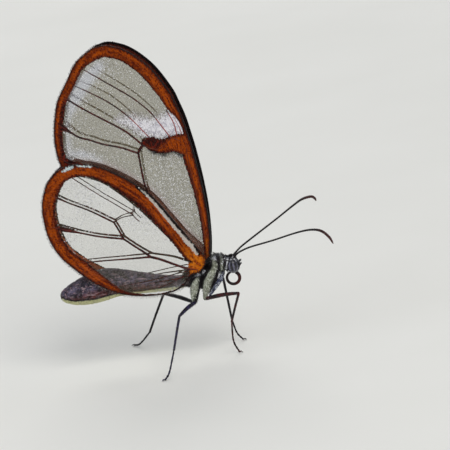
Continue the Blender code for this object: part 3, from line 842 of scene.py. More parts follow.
FILMS = {"fore": (film_material("forewing_outer", 0.35, 0.0), film_material("forewing_inner", 0.35, 1.0)),
         "hind": (film_material("hindwing_outer", 0.08, 0.0), film_material("hindwing_inner", 0.08, 0.9))}


def dress_film(film, finishes):
    """Gives the outer face the first finish and the inner face the second."""
    for finish in finishes:
        film.data.materials.append(finish)
    for face in film.data.polygons:
        face.material_index = 1 if face.normal.y > 0.2 else 0


dress_film(forewing, FILMS["fore"])
dress_film(hindwing, FILMS["hind"])
print("film finishes:", [m.name for pair in FILMS.values() for m in pair])

# %% [markdown]
# ## The wings: veins in relief
# The veins stand out on both faces of the film, so they are real rods and not a painted line. Each is
# a curve with its own thickness along the way, and all the rods of a wing are joined into one piece.
# The edges are rods too, and the front one is thick near the root, where it takes the load in flight.

# %% Vein rods
# Half thickness of each wing's front edge at the root, and of its rear edge and tip
RIM_HALF = {"fore": (0.1, 0.045), "hind": (0.05, 0.04)}
RIM_STEP = 0.35


def rods(name, veins, front, rear, spread, rim_halves):
    """One joined piece: every vein, and the thick and the thin edge of the wing."""
    made = []
    for number, vein in enumerate(veins):
        line = [(x, -spread(x, z), z, half) for x, z, half, _ in vein]
        made.append(tube(f"{name}_{number}", line, 6))
    for part, run, half in (("front", front, rim_halves[0]), ("rear", rear, rim_halves[1])):
        edge = smooth_line(run, RIM_STEP, 2)
        last = len(edge) - 1
        line = [(x, -spread(x, z), z, half + (rim_halves[1] - half) * i / last)
                for i, (x, z, _, _) in enumerate(edge)]
        made.append(tube(f"{name}_{part}", line, 6))
    return rounded(joined(name, made), 60)


fore_rods = rods("forewing_veins_right", fore_veins, FORE_FRONT, FORE_REAR, fore_spread, RIM_HALF["fore"])
hind_rods = rods("hindwing_veins_right", hind_veins, HIND_FRONT, HIND_REAR, hind_spread, RIM_HALF["hind"])
print("rod faces:", len(fore_rods.data.polygons), len(hind_rods.data.polygons))

# %% [markdown]
# ## The wings: the veins' finish
# Dark scales run along the rods. Inside the white patch the rods are bare and pinkish, and in the band
# they take the band's colour. The rods read the same marks as the film, so one material does for all
# of them and changes at the same places.

# %% Vein material
def vein_material(name):
    material, steps, shader = new_material(name, 0.45)
    scaly = steps.blotches(2600.0, 3.0, 0.35, 0.7)
    tone = steps.mix(scaly, (12, 4, 3), (84, 18, 12))
    tone = steps.mix(steps.by_mark("band", 0.5, 0.0), tone, (62, 14, 8))
    tone = steps.mix(steps.by_mark("orange", 0.1, -0.1), tone, (100, 34, 4))
    tone = steps.mix(steps.by_mark("white", 0.1, -0.35), tone, (150, 66, 60))
    tone = steps.mix(steps.by_mark("rim", 0.14, 0.08), tone, (14, 7, 8))
    wire_up(steps, shader, Base_Color=tone, Normal=steps.bump(steps.noise(9000.0), 0.02 * MM, 0.6))
    return material


vein_finish = vein_material("vein_rods")
mark_all(fore_rods, fore_marks(points_of(fore_rods)[:, [0, 2]]))
mark_all(hind_rods, hind_marks(points_of(hind_rods)[:, [0, 2]]))
for piece in (fore_rods, hind_rods):
    piece.data.materials.append(vein_finish)
print("vein finish:", vein_finish.name)

# %% [markdown]
# ## Blades for scales and hair
# Wing scales and body hair are the same thing: a flat or thin blade with its root in a socket. One
# blade is modelled from a circle, extruded in steps and closed at the tip. Thousands of copies are
# then laid out at once, each with its own size and lean, in one mesh.

# %% Model one blade
def blade_shape(name, sides, thin, rings):
    """Points and faces of a blade one unit long. rings are (height, half width) above its root, and
    the last ring closes to a point."""
    bpy.ops.object.select_all(action="DESELECT")
    bpy.ops.mesh.primitive_circle_add(vertices=sides, radius=1.0, fill_type="NGON")
    bpy.ops.object.mode_set(mode="EDIT")
    bpy.ops.mesh.select_all(action="SELECT")
    (height, width), *rest = rings
    bpy.ops.transform.resize(value=(width, width * thin, 1))
    for next_height, next_width in rest:
        bpy.ops.mesh.extrude_region_move(TRANSFORM_OT_translate={"value": (0, 0, next_height - height)})
        if next_width > 0:
            bpy.ops.transform.resize(value=(next_width / width, next_width / width, 1))
        height, width = next_height, next_width
    bpy.ops.mesh.merge(type="CENTER")
    bpy.ops.mesh.select_all(action="SELECT")
    bpy.ops.mesh.normals_make_consistent(inside=False)
    bpy.ops.mesh.quads_convert_to_tris()
    bpy.ops.object.mode_set(mode="OBJECT")
    shape = named(name)
    points = points_of(shape) * MM
    faces = np.array([tuple(face.vertices) for face in shape.data.polygons if len(face.vertices) == 3])
    bpy.data.objects.remove(shape)
    return points, faces


SCALE = blade_shape("scale_shape", 4, 0.14, [(0.0, 0.4), (0.3, 0.9), (0.85, 1.0), (1.0, 0.0)])
TILE = blade_shape("tile_shape", 4, 0.2, [(0.0, 0.5), (0.7, 1.0), (1.0, 0.0)])
HAIR = blade_shape("hair_shape", 3, 1.0, [(0.0, 1.0), (0.55, 0.7), (1.0, 0.0)])
print("faces of a scale, a tile and a hair:", len(SCALE[1]), len(TILE[1]), len(HAIR[1]))


# %% Lay blades out
BLADE_WRAP = 0.0015  # how much of the unwrap one blade takes


def unit(vectors):
    return vectors / np.maximum(np.linalg.norm(vectors, axis=-1, keepdims=True), 1e-9)


def coat(name, shape, roots, outward, ahead, length, width, curl, wrap, marks):
    """One mesh of many blades. ahead is where each points, outward is the skin's normal at its root,
    curl bends its tip towards the skin, wrap is its root's place on the skin's unwrap."""
    points, faces = shape
    count = len(roots)
    aim = unit(ahead)
    side = unit(np.cross(outward, aim))
    lift = np.cross(aim, side)
    length, width, curl = (np.broadcast_to(v, count)[:, None, None] for v in (length, width, curl))
    x, y, z = points.T[:, None, :, None]
    placed = roots[:, None] + side[:, None] * x * width + lift[:, None] * (y * width - curl * length * z**2)
    placed = placed + aim[:, None] * z * length
    every_face = (faces[None] + np.arange(count)[:, None, None] * len(points)).reshape(-1, 3)
    mesh = bpy.data.meshes.new(name)
    mesh.from_pydata(placed.reshape(-1, 3) * MM, [], every_face)
    piece = bpy.data.objects.new(name, mesh)
    bpy.context.scene.collection.objects.link(piece)
    map_ = mesh.uv_layers.new(name="OFBake")
    patch = np.stack([points[:, 0], points[:, 2] - 0.5], axis=1) * BLADE_WRAP
    spots = (np.asarray(wrap)[:, None] + patch[None]).reshape(-1, 2)
    loops = numbers_of(mesh.loops, "vertex_index", 1, np.int32)[:, 0]
    map_.data.foreach_set("uv", spots[loops].astype(np.float32).ravel())
    for key, values in marks.items():
        mark(piece, key, np.repeat(values, len(points)))
    return rounded(piece, 70)


shake = np.random.default_rng(5)


def vary(count, low, high):
    return shake.uniform(low, high, count)


print("blades ready")

# %% [markdown]
# ## The wings: fringe and scales of the band
# The outer edge of a real wing has a fringe of narrow scales that stand out past it. The amber band is
# covered by rows of overlapping scales that point away from the root. Here they lie on both
# faces, turned a little out of line, so that the band has a grain and a soft edge.

# %% Blades in a wing's plane
WRAP_SIZE, WRAP_SHIFT = 60.0, 20


def wrap_flat(places):
    """Places on the wings' unwrap, which is their own flat outline."""
    return np.stack([(places[:, 0] + WRAP_SHIFT) / WRAP_SIZE, places[:, 1] / WRAP_SIZE], axis=1)


def flat_blades(name, shape, roots, spread, flat_aim, lean, lengths, widths, marks, face=0):
    """Blades that lie in a wing's plane. face puts them on its outer (-1) or inner (1) side."""
    count = len(roots)
    y = -spread(roots[:, 0], roots[:, 1]) + face * FILM_THICK / 2
    aim = np.stack([flat_aim[:, 0], np.broadcast_to(lean, count), flat_aim[:, 1]], axis=1)
    outward = np.tile([0.0, float(face or -1), 0.0], (count, 1))
    return coat(name, shape, np.stack([roots[:, 0], y, roots[:, 1]], axis=1), outward, aim,
                vary(count, *lengths), vary(count, *widths), 0.0, wrap_flat(roots), marks)


print("the unwrap covers, mm:", WRAP_SIZE)


# %% Fringe
def fringe(spread, name, shape, run, spacing, lengths, widths):
    """Narrow blades along an edge, pointing out of the wing and a little towards its tip."""
    line = smooth_line(run, spacing, 2)[:, :2]
    forward = unit(np.gradient(line, axis=0))
    out = np.stack([forward[:, 1], -forward[:, 0]], axis=1)
    out = out * np.sign(((line - line.mean(axis=0)) * out).sum(1).mean())
    count = len(line)
    flat_aim = unit(out + forward * (0.35 + shake.normal(0, 0.22, count)[:, None]))
    marks = {"tone": vary(count, 0, 1)}
    return flat_blades(name, shape, line - flat_aim * 0.05, spread, flat_aim,
                       shake.normal(0, 0.06, count), lengths, widths, marks)


# Each run: name, shape, places of the edge, spacing, lengths, half widths
FORE_FRINGES = [
    ("fore_fringe_outer", TILE, FORE_REAR[6:], 0.06, (0.16, 0.34), (0.015, 0.03)),
    ("fore_fringe_tip", TILE, FORE_FRONT[-4:], 0.08, (0.1, 0.2), (0.015, 0.025)),
    ("fore_fringe_rear", HAIR, FORE_REAR[1:7], 0.05, (0.2, 0.42), (0.01, 0.016)),
]
HIND_FRINGES = [
    ("hind_fringe_outer", TILE, HIND_REAR[9:], 0.06, (0.2, 0.4), (0.012, 0.022)),
    ("hind_fringe_fold", HAIR, HIND_REAR[5:11], 0.035, (0.25, 0.6), (0.008, 0.013)),
    ("hind_fringe_tip", TILE, HIND_FRONT[-4:], 0.07, (0.16, 0.28), (0.012, 0.022)),
]
fore_fringe = joined("forewing_fringe_right", [fringe(fore_spread, *row) for row in FORE_FRINGES])
hind_fringe = joined("hindwing_fringe_right", [fringe(hind_spread, *row) for row in HIND_FRINGES])
print("fringe faces:", len(fore_fringe.data.polygons), len(hind_fringe.data.polygons))


# %% Scales on the band
SCALE_GAP = 0.155
SCALE_LENGTHS, SCALE_WIDTHS = (0.19, 0.26), (0.055, 0.075)
FACES = ((-1, "outer"), (1, "inner"))


def inside(places, outline):
    """Which places lie inside a closed outline: a ray to one side crosses it an odd number of times."""
    x, z = places[:, :1], places[:, 1:]
    start, end = outline, np.roll(outline, -1, axis=0)
    crosses = (start[:, 1] > z) != (end[:, 1] > z)
    rise = np.where(end[:, 1] == start[:, 1], 1e-9, end[:, 1] - start[:, 1])
    reach = start[:, 0] + (z - start[:, 1]) / rise * (end[:, 0] - start[:, 0])
    return (crosses & (x < reach)).sum(1) % 2 == 1


def band_scales(name, edge, marks_of, spread, hinge, inner):
    """Rows of scales on both faces, wherever the marks say that the wing has them. inner is what the
    inner ones tell the band's colours."""
    low, high = edge[:, :2].min(0), edge[:, :2].max(0)
    x, z = np.meshgrid(np.arange(low[0], high[0], SCALE_GAP), np.arange(low[1], high[1], SCALE_GAP))
    spots = np.stack([x.ravel(), z.ravel()], axis=1) + shake.uniform(-0.4, 0.4, (x.size, 2)) * SCALE_GAP
    spots = spots[inside(spots, edge[:, :2])]
    marks = marks_of(spots)
    covered = (marks["scaly"] < 0.02) | (marks["vein"] < -0.12)
    kept = covered & (marks["rim"] > 0.12) & (marks["bare"] > -0.02)
    spots = spots[kept]
    marks = {key: values[kept] for key, values in marks.items()}
    count = len(spots)
    flat_aim = unit(unit(spots - np.array(hinge)) + shake.normal(0, 0.12, (count, 2)))
    pieces = []
    for face, part in FACES:
        own = {**marks, "tone": vary(count, 0, 1), "inner_face": np.full(count, inner * (face > 0))}
        pieces.append(flat_blades(f"{name}_{part}", SCALE, spots, spread, flat_aim, face * 0.1,
                                  SCALE_LENGTHS, SCALE_WIDTHS, own, face))
    return pieces


fore_scales = band_scales("forewing_scales_right", fore_edge, fore_marks, fore_spread, FORE_HINGE, 1.0)
hind_scales = band_scales("hindwing_scales_right", hind_edge, hind_marks, hind_spread, HIND_HINGE, 0.9)
print("scale faces:", [len(piece.data.polygons) for piece in fore_scales + hind_scales])

# %% [markdown]
# ## The wings: loose white scales
# The clear places still carry loose white scales, most of them in and round the white patch. Paint
# alone would leave them flat, so they are blades as well. Spots are tried all over the wing, and each is
# kept by a chance that grows where the real ones lie close.

# %% White scales on the clear film
# Further places where they lie close: x, z, how far, how close
FORE_SPARKLES = [(-7.2, 36.3, 1.6, 0.4), (-10.6, 33.0, 1.2, 0.4), (-12.2, 30.0, 1.2, 0.25),
                 (-11.6, 25.6, 2.2, 0.4), (-1.6, 23.4, 2.6, 0.3), (-0.6, 19.0, 2.4, 0.35),
                 (-4.6, 29.0, 1.5, 0.3)]
HIND_SPARKLES = [(-11.9, 21.6, 2.4, 0.7), (-5.6, 18.3, 1.6, 0.6), (-14.6, 17.2, 1.8, 0.4)]
FORE_TRIES, HIND_TRIES = 40000, 14000
WHITE_LENGTHS, WHITE_WIDTHS = (0.07, 0.14), (0.03, 0.056)


def white_scales(name, edge, marks_of, spread, hinge, places, tries):
    """Loose white scales on both faces of the film, outside its veins and its band."""
    spots = shake.uniform(edge[:, :2].min(0), edge[:, :2].max(0), (tries, 2))
    spots = spots[inside(spots, edge[:, :2])]
    marks = marks_of(spots)
    chance = 0.05 * ease((spots[:, 1] - 11.5) / 3) + 0.8 * ease(0.45 - marks["white"] / 1.4)
    for x, z, reach, share in places:
        chance += share * np.exp(-((spots[:, 0] - x) ** 2 + (spots[:, 1] - z) ** 2) / reach**2)
    clear = [marks["scaly"], marks["band"], marks["vein"], marks["beside_hindwing"] - 0.5]
    kept = (shake.uniform(0, 1, len(spots)) < chance) & (np.min(clear, axis=0) > 0.08)
    spots = spots[kept]
    flat_aim = unit(unit(spots - np.array(hinge)) + shake.normal(0, 0.35, (len(spots), 2)))
    tones = vary(len(spots), 0, 1)
    pieces = []
    for half, (face, part) in enumerate(FACES):
        pieces.append(flat_blades(f"{name}_{part}", TILE, spots[half::2], spread, flat_aim[half::2],
                                  face * 0.12, WHITE_LENGTHS, WHITE_WIDTHS, {"tone": tones[half::2]}, face))
    return pieces


fore_white = joined("forewing_white_scales_right", white_scales(
    "fore_white", fore_edge, fore_marks, fore_spread, FORE_HINGE, FORE_SPARKLES, FORE_TRIES))
hind_white = joined("hindwing_white_scales_right", white_scales(
    "hind_white", hind_edge, hind_marks, hind_spread, HIND_HINGE, HIND_SPARKLES, HIND_TRIES))
print("white scale faces:", len(fore_white.data.polygons), len(hind_white.data.polygons))

# %% White scale material
white_material, steps, shader = new_material("white_scales", 0.45)
wire_up(steps, shader, Base_Color=steps.mix(steps.mark("tone"), (216, 216, 222), (250, 249, 252)))
for piece in (fore_white, hind_white):
    piece.data.materials.append(white_material)
print("white scale material:", white_material.name)

# %% [markdown]
# ## The wings: hair of the bar
# Fine dark hair grows down from the brown bar and stands along the forewing's rear edge, and it softens
# both. It is rooted at random along a line and leans one way with some disorder, which is how hair lies
# after a butterfly has cleaned itself.

# %% Hair of the bar
def hair_along(name, run, count, way, lengths):
    """Dark hair in the forewing's plane, rooted along a run of places."""
    line = smooth_line(run, 0.05, 2)
    roots = line[shake.integers(0, len(line), count)][:, :2] + shake.normal(0, 0.05, (count, 2))
    flat_aim = unit(np.array(way) + shake.normal(0, 0.3, (count, 2)))
    return flat_blades(name, HAIR, roots, fore_spread, flat_aim, shake.normal(-0.1, 0.1, count), lengths,
                       BAR_HAIR_WIDTHS, {"tone": vary(count, 0, 0.5)}, -1)


BAR_HAIR_WIDTHS = (0.01, 0.018)
BAR_HAIRS = [  # name, places (x, z), how many, way, lengths
    ("bar_hair", [(-3.3, 26.3), (-2.9, 26.0), (-2.2, 25.7), (-1.6, 25.45), (-0.9, 25.5), (-0.2, 25.5),
                  (0.6, 24.9)], 200, (-0.15, -1.0), (0.25, 0.7)),
    ("bar_hair_top", [(-3.6, 27.5), (-2.9, 27.5), (-2.3, 27.2), (-1.1, 27.05)], 70, (-0.5, 0.8),
     (0.12, 0.25)),
    ("rear_hair", [(-13.0, 25.2), (-11.2, 24.6), (-9.2, 23.5), (-6.6, 21.0), (-4.6, 18.6)], 200,
     (-0.2, 1.0), (0.1, 0.24)),
]
bar_hair = joined("forewing_bar_hair_right", [hair_along(*row) for row in BAR_HAIRS])
print("bar hair faces:", len(bar_hair.data.polygons))

# %% [markdown]
# ## The wings: finish of scales, fringe and hair
# The scales use the band's group, so each takes the colour of the film under it and its own tone from
# its mark. The fringe is dark with a few pale blades. The hair is nearly black. A number kept on each
# blade does this with one material for thousands of them.

# %% Scale, fringe and hair materials
def scale_material(name):
    material, steps, shader = new_material(name, 0.6, 0.08)
    tones = steps.node("ShaderNodeGroup", {"Tone": steps.mark("tone"), "Inner": steps.mark("inner_face")},
                       node_tree=bpy.data.node_groups["band_tones"])
    wire_up(steps, shader, Base_Color=tones.outputs["Colour"])
    return material


def fringe_material(name):
    material, steps, shader = new_material(name, 0.6)
    few = steps.by_mark("tone", 0.66, 0.76)
    colour = steps.mix(few, (44, 26, 26), (196, 190, 190))
    wire_up(steps, shader, Base_Color=steps.mix(steps.noise(900.0), colour, (84, 50, 40)))
    return material


def dark_hair_material(name):
    material, steps, shader = new_material(name, 0.5)
    wire_up(steps, shader, Base_Color=steps.mix(steps.mark("tone"), (10, 7, 10), (46, 34, 44)))
    return material


scale_finish, fringe_finish = scale_material("band_scales"), fringe_material("fringe_scales")
dark_hair = dark_hair_material("dark_hair")
for piece in (*fore_scales, *hind_scales):
    piece.data.materials.append(scale_finish)
for piece in (fore_fringe, hind_fringe):
    piece.data.materials.append(fringe_finish)
bar_hair.data.materials.append(dark_hair)
print("blade finishes:", scale_finish.name, fringe_finish.name, dark_hair.name)

# %% [markdown]
# ## The left wings
# The left wings are the right ones seen in a mirror, so each piece is copied with its own mesh and its
# points change sides. A mirror turns faces inside out, and the normals are flipped back. The left
# forewing leans a little further forward, because two wings of a pair are never quite in line.

# %% The left wings
def left_copy(piece, name, lead=0.0):
    """The mirror image of a right-hand piece. A forewing also leans forward by its lead."""
    select_only(piece)
    bpy.ops.object.duplicate()
    twin = named(name)
    twin.data = twin.data.copy()
    twin.data.name = name
    points = points_of(twin)
    points[:, 1] *= -1
    turn = np.array([[math.cos(lead), math.sin(lead)], [-math.sin(lead), math.cos(lead)]])
    points[:, [0, 2]] = (points[:, [0, 2]] - FORE_HINGE) @ turn.T + FORE_HINGE
    place_points(twin, points)
    open_all(twin)
    bpy.ops.mesh.flip_normals()
    bpy.ops.object.mode_set(mode="OBJECT")
    return twin


wing_pieces = {"forewing_right": [forewing, fore_rods, fore_fringe, bar_hair, fore_white, *fore_scales],
               "hindwing_right": [hindwing, hind_rods, hind_fringe, hind_white, *hind_scales]}
for pair, lead in (("forewing", LEFT_LEAD), ("hindwing", 0.0)):
    wing_pieces[pair + "_left"] = [left_copy(piece, piece.name.replace("_right", "_left"), lead)
                                   for piece in wing_pieces[pair + "_right"]]
for node, pieces in wing_pieces.items():
    for piece in pieces:
        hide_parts(node)
        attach(piece, "root")
print("wing pieces:", sum(map(len, wing_pieces.values())))

# %% [markdown]
# ## The body: one skin
# Abdomen, thorax, collar, neck, head and the four coxae, which carry the legs, are one continuous skin
# on the animal, so they are one here. Rods and balls are set in place, melted together by a voxel
# remesh, and then pinched and raised where the real plates meet. Boolean unions would leave hard
# seams between the parts.

# %% Stations of the body
# Along the body: x, z, half height, half width
ABDOMEN = [(-1.2, 9.6, 0.5, 0.45), (-1.9, 9.5, 0.72, 0.64), (-3.2, 9.45, 0.88, 0.76),
           (-5.2, 9.68, 1.1, 0.92), (-7.9, 10.13, 1.42, 1.08), (-9.9, 10.42, 1.7, 1.26),
           (-11.5, 10.42, 1.93, 1.38), (-13.2, 10.08, 1.84, 1.34), (-14.7, 9.82, 1.58, 1.2),
           (-15.9, 9.68, 1.2, 0.92), (-16.7, 9.62, 0.78, 0.62), (-17.05, 9.6, 0.4, 0.32)]
THORAX = [(-2.1, 9.6, 0.5, 0.45), (-1.7, 9.65, 0.95, 0.86), (-1.0, 9.8, 1.34, 1.18), (-0.2, 9.95, 1.6, 1.36),
          (0.7, 10.15, 1.74, 1.42), (1.5, 10.5, 1.72, 1.38), (2.1, 10.85, 1.42, 1.2), (2.5, 11.0, 1.08, 0.98),
          (2.85, 11.02, 1.02, 0.92), (3.1, 11.0, 0.95, 0.8), (3.35, 10.95, 0.85, 0.7), (3.6, 10.9, 0.8, 0.62),
          (3.9, 10.85, 0.6, 0.5)]
HEAD_FORMS = [((4.05, 0, 10.82), (0.66, 0.56, 0.98)), ((3.72, 0, 10.8), (0.4, 0.52, 0.78)),
              ((4.45, 0, 10.5), (0.34, 0.36, 0.66)), ((4.2, 0, 11.42), (0.48, 0.48, 0.36)),
              ((3.6, 0, 10.15), (0.3, 0.42, 0.35))]
# Each coxa: x, y, z, radius, from its root to its end
COXAE = {
    "mid_right": [(1.9, -0.85, 10.6, 0.5), (1.5, -1.12, 9.95, 0.62), (1.05, -1.24, 9.2, 0.62),
                  (0.72, -1.36, 8.5, 0.5), (0.5, -1.5, 7.85, 0.33), (0.4, -1.6, 7.32, 0.22)],
    "mid_left": [(1.9, 0.85, 10.6, 0.5), (1.5, 1.12, 9.95, 0.62), (1.08, 1.24, 9.2, 0.62),
                 (0.78, 1.36, 8.5, 0.5), (0.6, 1.5, 7.85, 0.33), (0.5, 1.6, 7.27, 0.22)],
    "hind_right": [(0.1, -0.9, 10.1, 0.4), (-0.3, -1.1, 9.5, 0.58), (-0.62, -1.26, 8.75, 0.56),
                   (-0.8, -1.45, 8.0, 0.44), (-0.84, -1.6, 7.45, 0.32), (-0.84, -1.66, 7.12, 0.24)],
    "hind_left": [(0.1, 0.9, 10.1, 0.4), (-0.35, 1.05, 9.4, 0.58), (-0.75, 1.15, 8.5, 0.54),
                  (-1.1, 1.25, 7.5, 0.42), (-1.38, 1.35, 6.7, 0.3), (-1.5, 1.4, 6.25, 0.23)],
}
print("stations:", len(ABDOMEN), "on the abdomen,", len(THORAX), "on the thorax")


# %% Body forms
def ball(name, middle, radii, turn=(0, 0, 0), parts=32):
    bpy.ops.object.select_all(action="DESELECT")
    bpy.ops.mesh.primitive_uv_sphere_add(segments=parts, ring_count=parts * 5 // 8, radius=MM,
                                         location=Vector(middle) * MM, rotation=turn)
    piece = named(name)
    piece.scale = radii
    return settled(piece)


def trunk(name, stations):
    """A rod along the stations, narrower across than it is high."""
    line = smooth_line([(x, 0, z, high, wide) for x, z, high, wide in stations], 0.2, 3)
    piece = tube(name, line[:, :4], 36)
    points = points_of(piece)
    points[:, 1] *= np.interp(points[:, 0], line[:, 0], line[:, 4] / line[:, 3])
    return place_points(piece, points)


forms = [trunk("abdomen_form", ABDOMEN), trunk("thorax_form", THORAX)]
forms += [ball(f"head_form_{i}", middle, radii) for i, (middle, radii) in enumerate(HEAD_FORMS)]
forms += [tube(f"coxa_{name}", smooth_line(path, 0.15, 3), 20) for name, path in COXAE.items()]
for side in (RIGHT, LEFT):
    forms.append(ball(f"wing_root_{side}", (1.15, side * 0.86, 11.35), (0.5, 0.3, 0.42)))
    forms.append(ball(f"hindwing_root_{side}", (0.35, side * 1.22, 10.75), (0.55, 0.34, 0.36)))
print("forms to melt together:", len(forms))

# %% [markdown]
# ## The body: melting the forms
# A voxel remesh covers all the forms with one even net of small squares, and a few rounds of smoothing
# run them into each other. The remesh works badly at a butterfly's size, so the piece is first made a
# thousand times larger, and made small again after it.

# %% Melt the forms into one skin
VOXEL = 0.075


def melted(name, pieces, voxel, rounds):
    """Joins pieces and remeshes them at a millimetre scale, where the modifier can work."""
    piece = joined(name, pieces)
    piece.scale = (1 / MM,) * 3
    settled(piece)
    modified(piece, "REMESH", mode="VOXEL", voxel_size=voxel)
    modified(piece, "SMOOTH", factor=0.5, iterations=rounds)
    piece.scale = (MM,) * 3
    settled(piece)
    return closed_and_turned_out(piece)


body = melted("body_skin", forms, VOXEL, 4)
print("skin faces:", len(body.data.polygons))

# %% [markdown]
# ## The body: marks and relief
# The pale plates on the sides, the collar, the cream belly and the rings of the abdomen are marks, as
# on the wings. They also give the relief: plates stand a little proud, and the joints between the
# rings and the black lines between the plates sink in.

# %% Places of plates, white scales and rings
# The pale plates from the side: x, z, half width
PLATES = [
    [(2.2, 12.0, 0.12), (2.2, 11.5, 0.22), (2.12, 10.95, 0.3), (1.55, 10.1, 0.4), (1.05, 9.3, 0.46),
     (0.8, 8.6, 0.43), (0.56, 7.95, 0.3), (0.42, 7.4, 0.18)],
    [(0.0, 10.05, 0.1), (-0.36, 9.5, 0.36), (-0.68, 8.8, 0.46), (-0.92, 8.05, 0.34), (-1.06, 7.35, 0.16)],
    [(2.98, 12.0, 0.1), (3.04, 11.6, 0.13), (2.98, 11.0, 0.14), (2.8, 10.4, 0.11), (2.62, 9.95, 0.07)],
    [(3.16, 10.62, 0.03), (3.1, 10.4, 0.08), (3.06, 10.1, 0.06)],
]
# Small patches of white scales: x, y away from the middle, z, radius
WHITE_LINES = [
    [(3.64, 0.52, 11.2, 0.05), (3.52, 0.56, 10.9, 0.06), (3.44, 0.54, 10.6, 0.06), (3.36, 0.5, 10.2, 0.06)],
    [(3.72, 0.42, 11.5, 0.09), (3.82, 0.46, 11.56, 0.09)],
    [(3.44, 0.4, 11.66, 0.04), (3.46, 0.46, 11.6, 0.04)],
    [(4.16, 0.48, 11.42, 0.05), (4.2, 0.48, 11.4, 0.05)],
    [(4.4, 0.3, 11.6, 0.06), (4.44, 0.32, 11.58, 0.06)],
    [(4.54, 0.36, 11.3, 0.1), (4.66, 0.36, 11.1, 0.14), (4.74, 0.32, 10.88, 0.12)],
    [(3.62, 0.45, 9.98, 0.12), (3.7, 0.45, 9.95, 0.12)],
    [(1.25, 1.1, 10.98, 0.04), (0.75, 1.4, 10.66, 0.08)],
    [(0.35, 1.45, 10.45, 0.07), (0.05, 1.45, 10.38, 0.08)],
    [(-0.15, 1.42, 10.28, 0.05), (-0.35, 1.4, 10.22, 0.03)],
    [(1.8, 0.5, 12.15, 0.1), (2.1, 0.7, 11.95, 0.13), (2.4, 0.62, 11.75, 0.1)],
    [(2.9, 0.3, 11.9, 0.12), (3.05, 0.6, 11.55, 0.08), (3.05, 0.8, 11.2, 0.05)],
    [(2.62, 0.95, 10.2, 0.05), (2.5, 1.0, 9.9, 0.06), (2.35, 1.0, 9.6, 0.05)],
    [(-17.0, 0.15, 9.5, 0.12), (-16.8, 0.3, 9.35, 0.12)],
]
# The belly's upper edge: x, z
BELLY = [(-17.1, 9.62), (-16.39, 9.35), (-15.34, 9.03), (-14.1, 9.03), (-12.9, 8.98), (-11.6, 9.16),
         (-10.4, 9.28), (-9.1, 9.3), (-6.5, 9.2), (-4.0, 9.1), (-2.2, 9.0)]
RINGS = [-3.6, -5.3, -7.2, -9.2, -11.2, -13.2, -15.0, -16.2]
print("plates:", len(PLATES), "patches of white scales:", len(WHITE_LINES), "rings:", len(RINGS))


# %% Body marks
def one_side(places):
    """Both sides of the body laid on one: y is how far a place is from the middle."""
    return places * (1, 0, 1) + np.abs(places) * (0, 1, 0)


def body_marks(places):
    """The marks of skin or coat at the places given."""
    side = one_side(places)
    white = []
    for line in WHITE_LINES:
        gap, half = nearest_on(np.array(line), side, 3)
        white.append(gap - half[:, 0])
    belly = np.array(BELLY)
    spine = np.array(ABDOMEN[::-1])
    lean = places[:, 0] + 0.06 * (places[:, 2] - 10.0)
    ring = np.abs(lean[:, None] - np.array(RINGS)[None]).min(axis=1)
    return {
        "plate": patch_gap(places[:, [0, 2]], *PLATES),
        "white": np.min(white, axis=0),
        "belly": places[:, 2] - np.interp(places[:, 0], belly[:, 0], belly[:, 1]),
        "ring": np.where(places[:, 0] < -2.4, ring, 1.0),
        "abdomen": ease((-1.7 - places[:, 0]) / 0.8),
        "height": places[:, 2] - np.interp(places[:, 0], spine[:, 0], spine[:, 1]),
    }


places = points_of(body)
marks = body_marks(places)
mark_all(body, marks)
print("marks on the skin:", list(marks))


# %% Body relief
def normals_of(piece):
    return numbers_of(piece.data.vertices, "normal", 3).astype(float)


# How far plates stand proud, and how deep the black lines and the joints of the rings are
PLATE_RISE, LINE_DEPTH, RING_DEPTH = 0.05, 0.06, 0.055
WAIST_X = -1.8
beside_plate = np.exp(-((marks["plate"] - 0.09) / 0.07) ** 2)
relief = PLATE_RISE * ease(0.5 - marks["plate"] / 0.2) - LINE_DEPTH * beside_plate
relief *= places[:, 0] > WAIST_X
relief -= RING_DEPTH * np.exp(-(marks["ring"] / 0.1) ** 2)
place_points(body, places + normals_of(body) * relief[:, None])
rounded(body, 180)
print("relief, mm:", round(relief.min(), 3), "to", round(relief.max(), 3))

# %% [markdown]
# ## The body: its colours
# Skin and coat share one group of colours, so that hair and scales never show a patch that the skin
# below does not have. It reads the marks and breaks their edges with noise, as the overlapping
# scales of the real animal do.

# %% Body colours: the abdomen
g, given, wanted = new_group("body_tones", {"Shift": 0.0}, {"Colour": "NodeSocketColor"})
fine = g.minus(g.noise(6000.0, 2.0), 0.5)
broad = g.noise(1300.0, 3.0)
shifted = g.times(g.minus(given["Shift"], 0.5), 0.08)
ragged = g.plus(g.times(fine, 0.25), shifted)
black = g.mix(broad, (8, 7, 10), (34, 25, 28))
# The upper side is dark; its violet-grey patches are a painted sheen, and the light blotches on it are
# painted highlights.
top = g.mix(g.step(broad, 0.35, 0.7), (34, 28, 40), (104, 94, 118))
top = g.mix(g.blotches(3400.0, 2.0, 0.56, 0.7), top, (152, 120, 130))
sides = g.mix(g.step(broad, 0.3, 0.7), (32, 12, 14), (104, 52, 50))
stretched = g.node("ShaderNodeMapping", {"Vector": g.place(), "Scale": (0.16, 1.0, 1.0)}).outputs["Vector"]
lines = g.noise(5200.0, 2.0, stretched)
abdomen = g.mix(g.by_mark("height", -0.55, 0.35, g.times(fine, 1.2)), sides, top)
abdomen = g.mix(g.times(g.step(lines, 0.56, 0.68), 0.6), abdomen, (176, 150, 156))
abdomen = g.mix(g.times(g.step(lines, 0.44, 0.34), 0.7), abdomen, (22, 15, 20))
abdomen = g.mix(g.times(g.by_mark("height", 0.6, 1.5), 0.6), abdomen, (30, 24, 32))
cream = g.mix(broad, (176, 176, 122), (216, 214, 168))
belly = g.plus(g.mark("belly"), g.times(fine, 0.3))
abdomen = g.mix(g.step(belly, 0.3, 0.16), abdomen, (30, 20, 22))
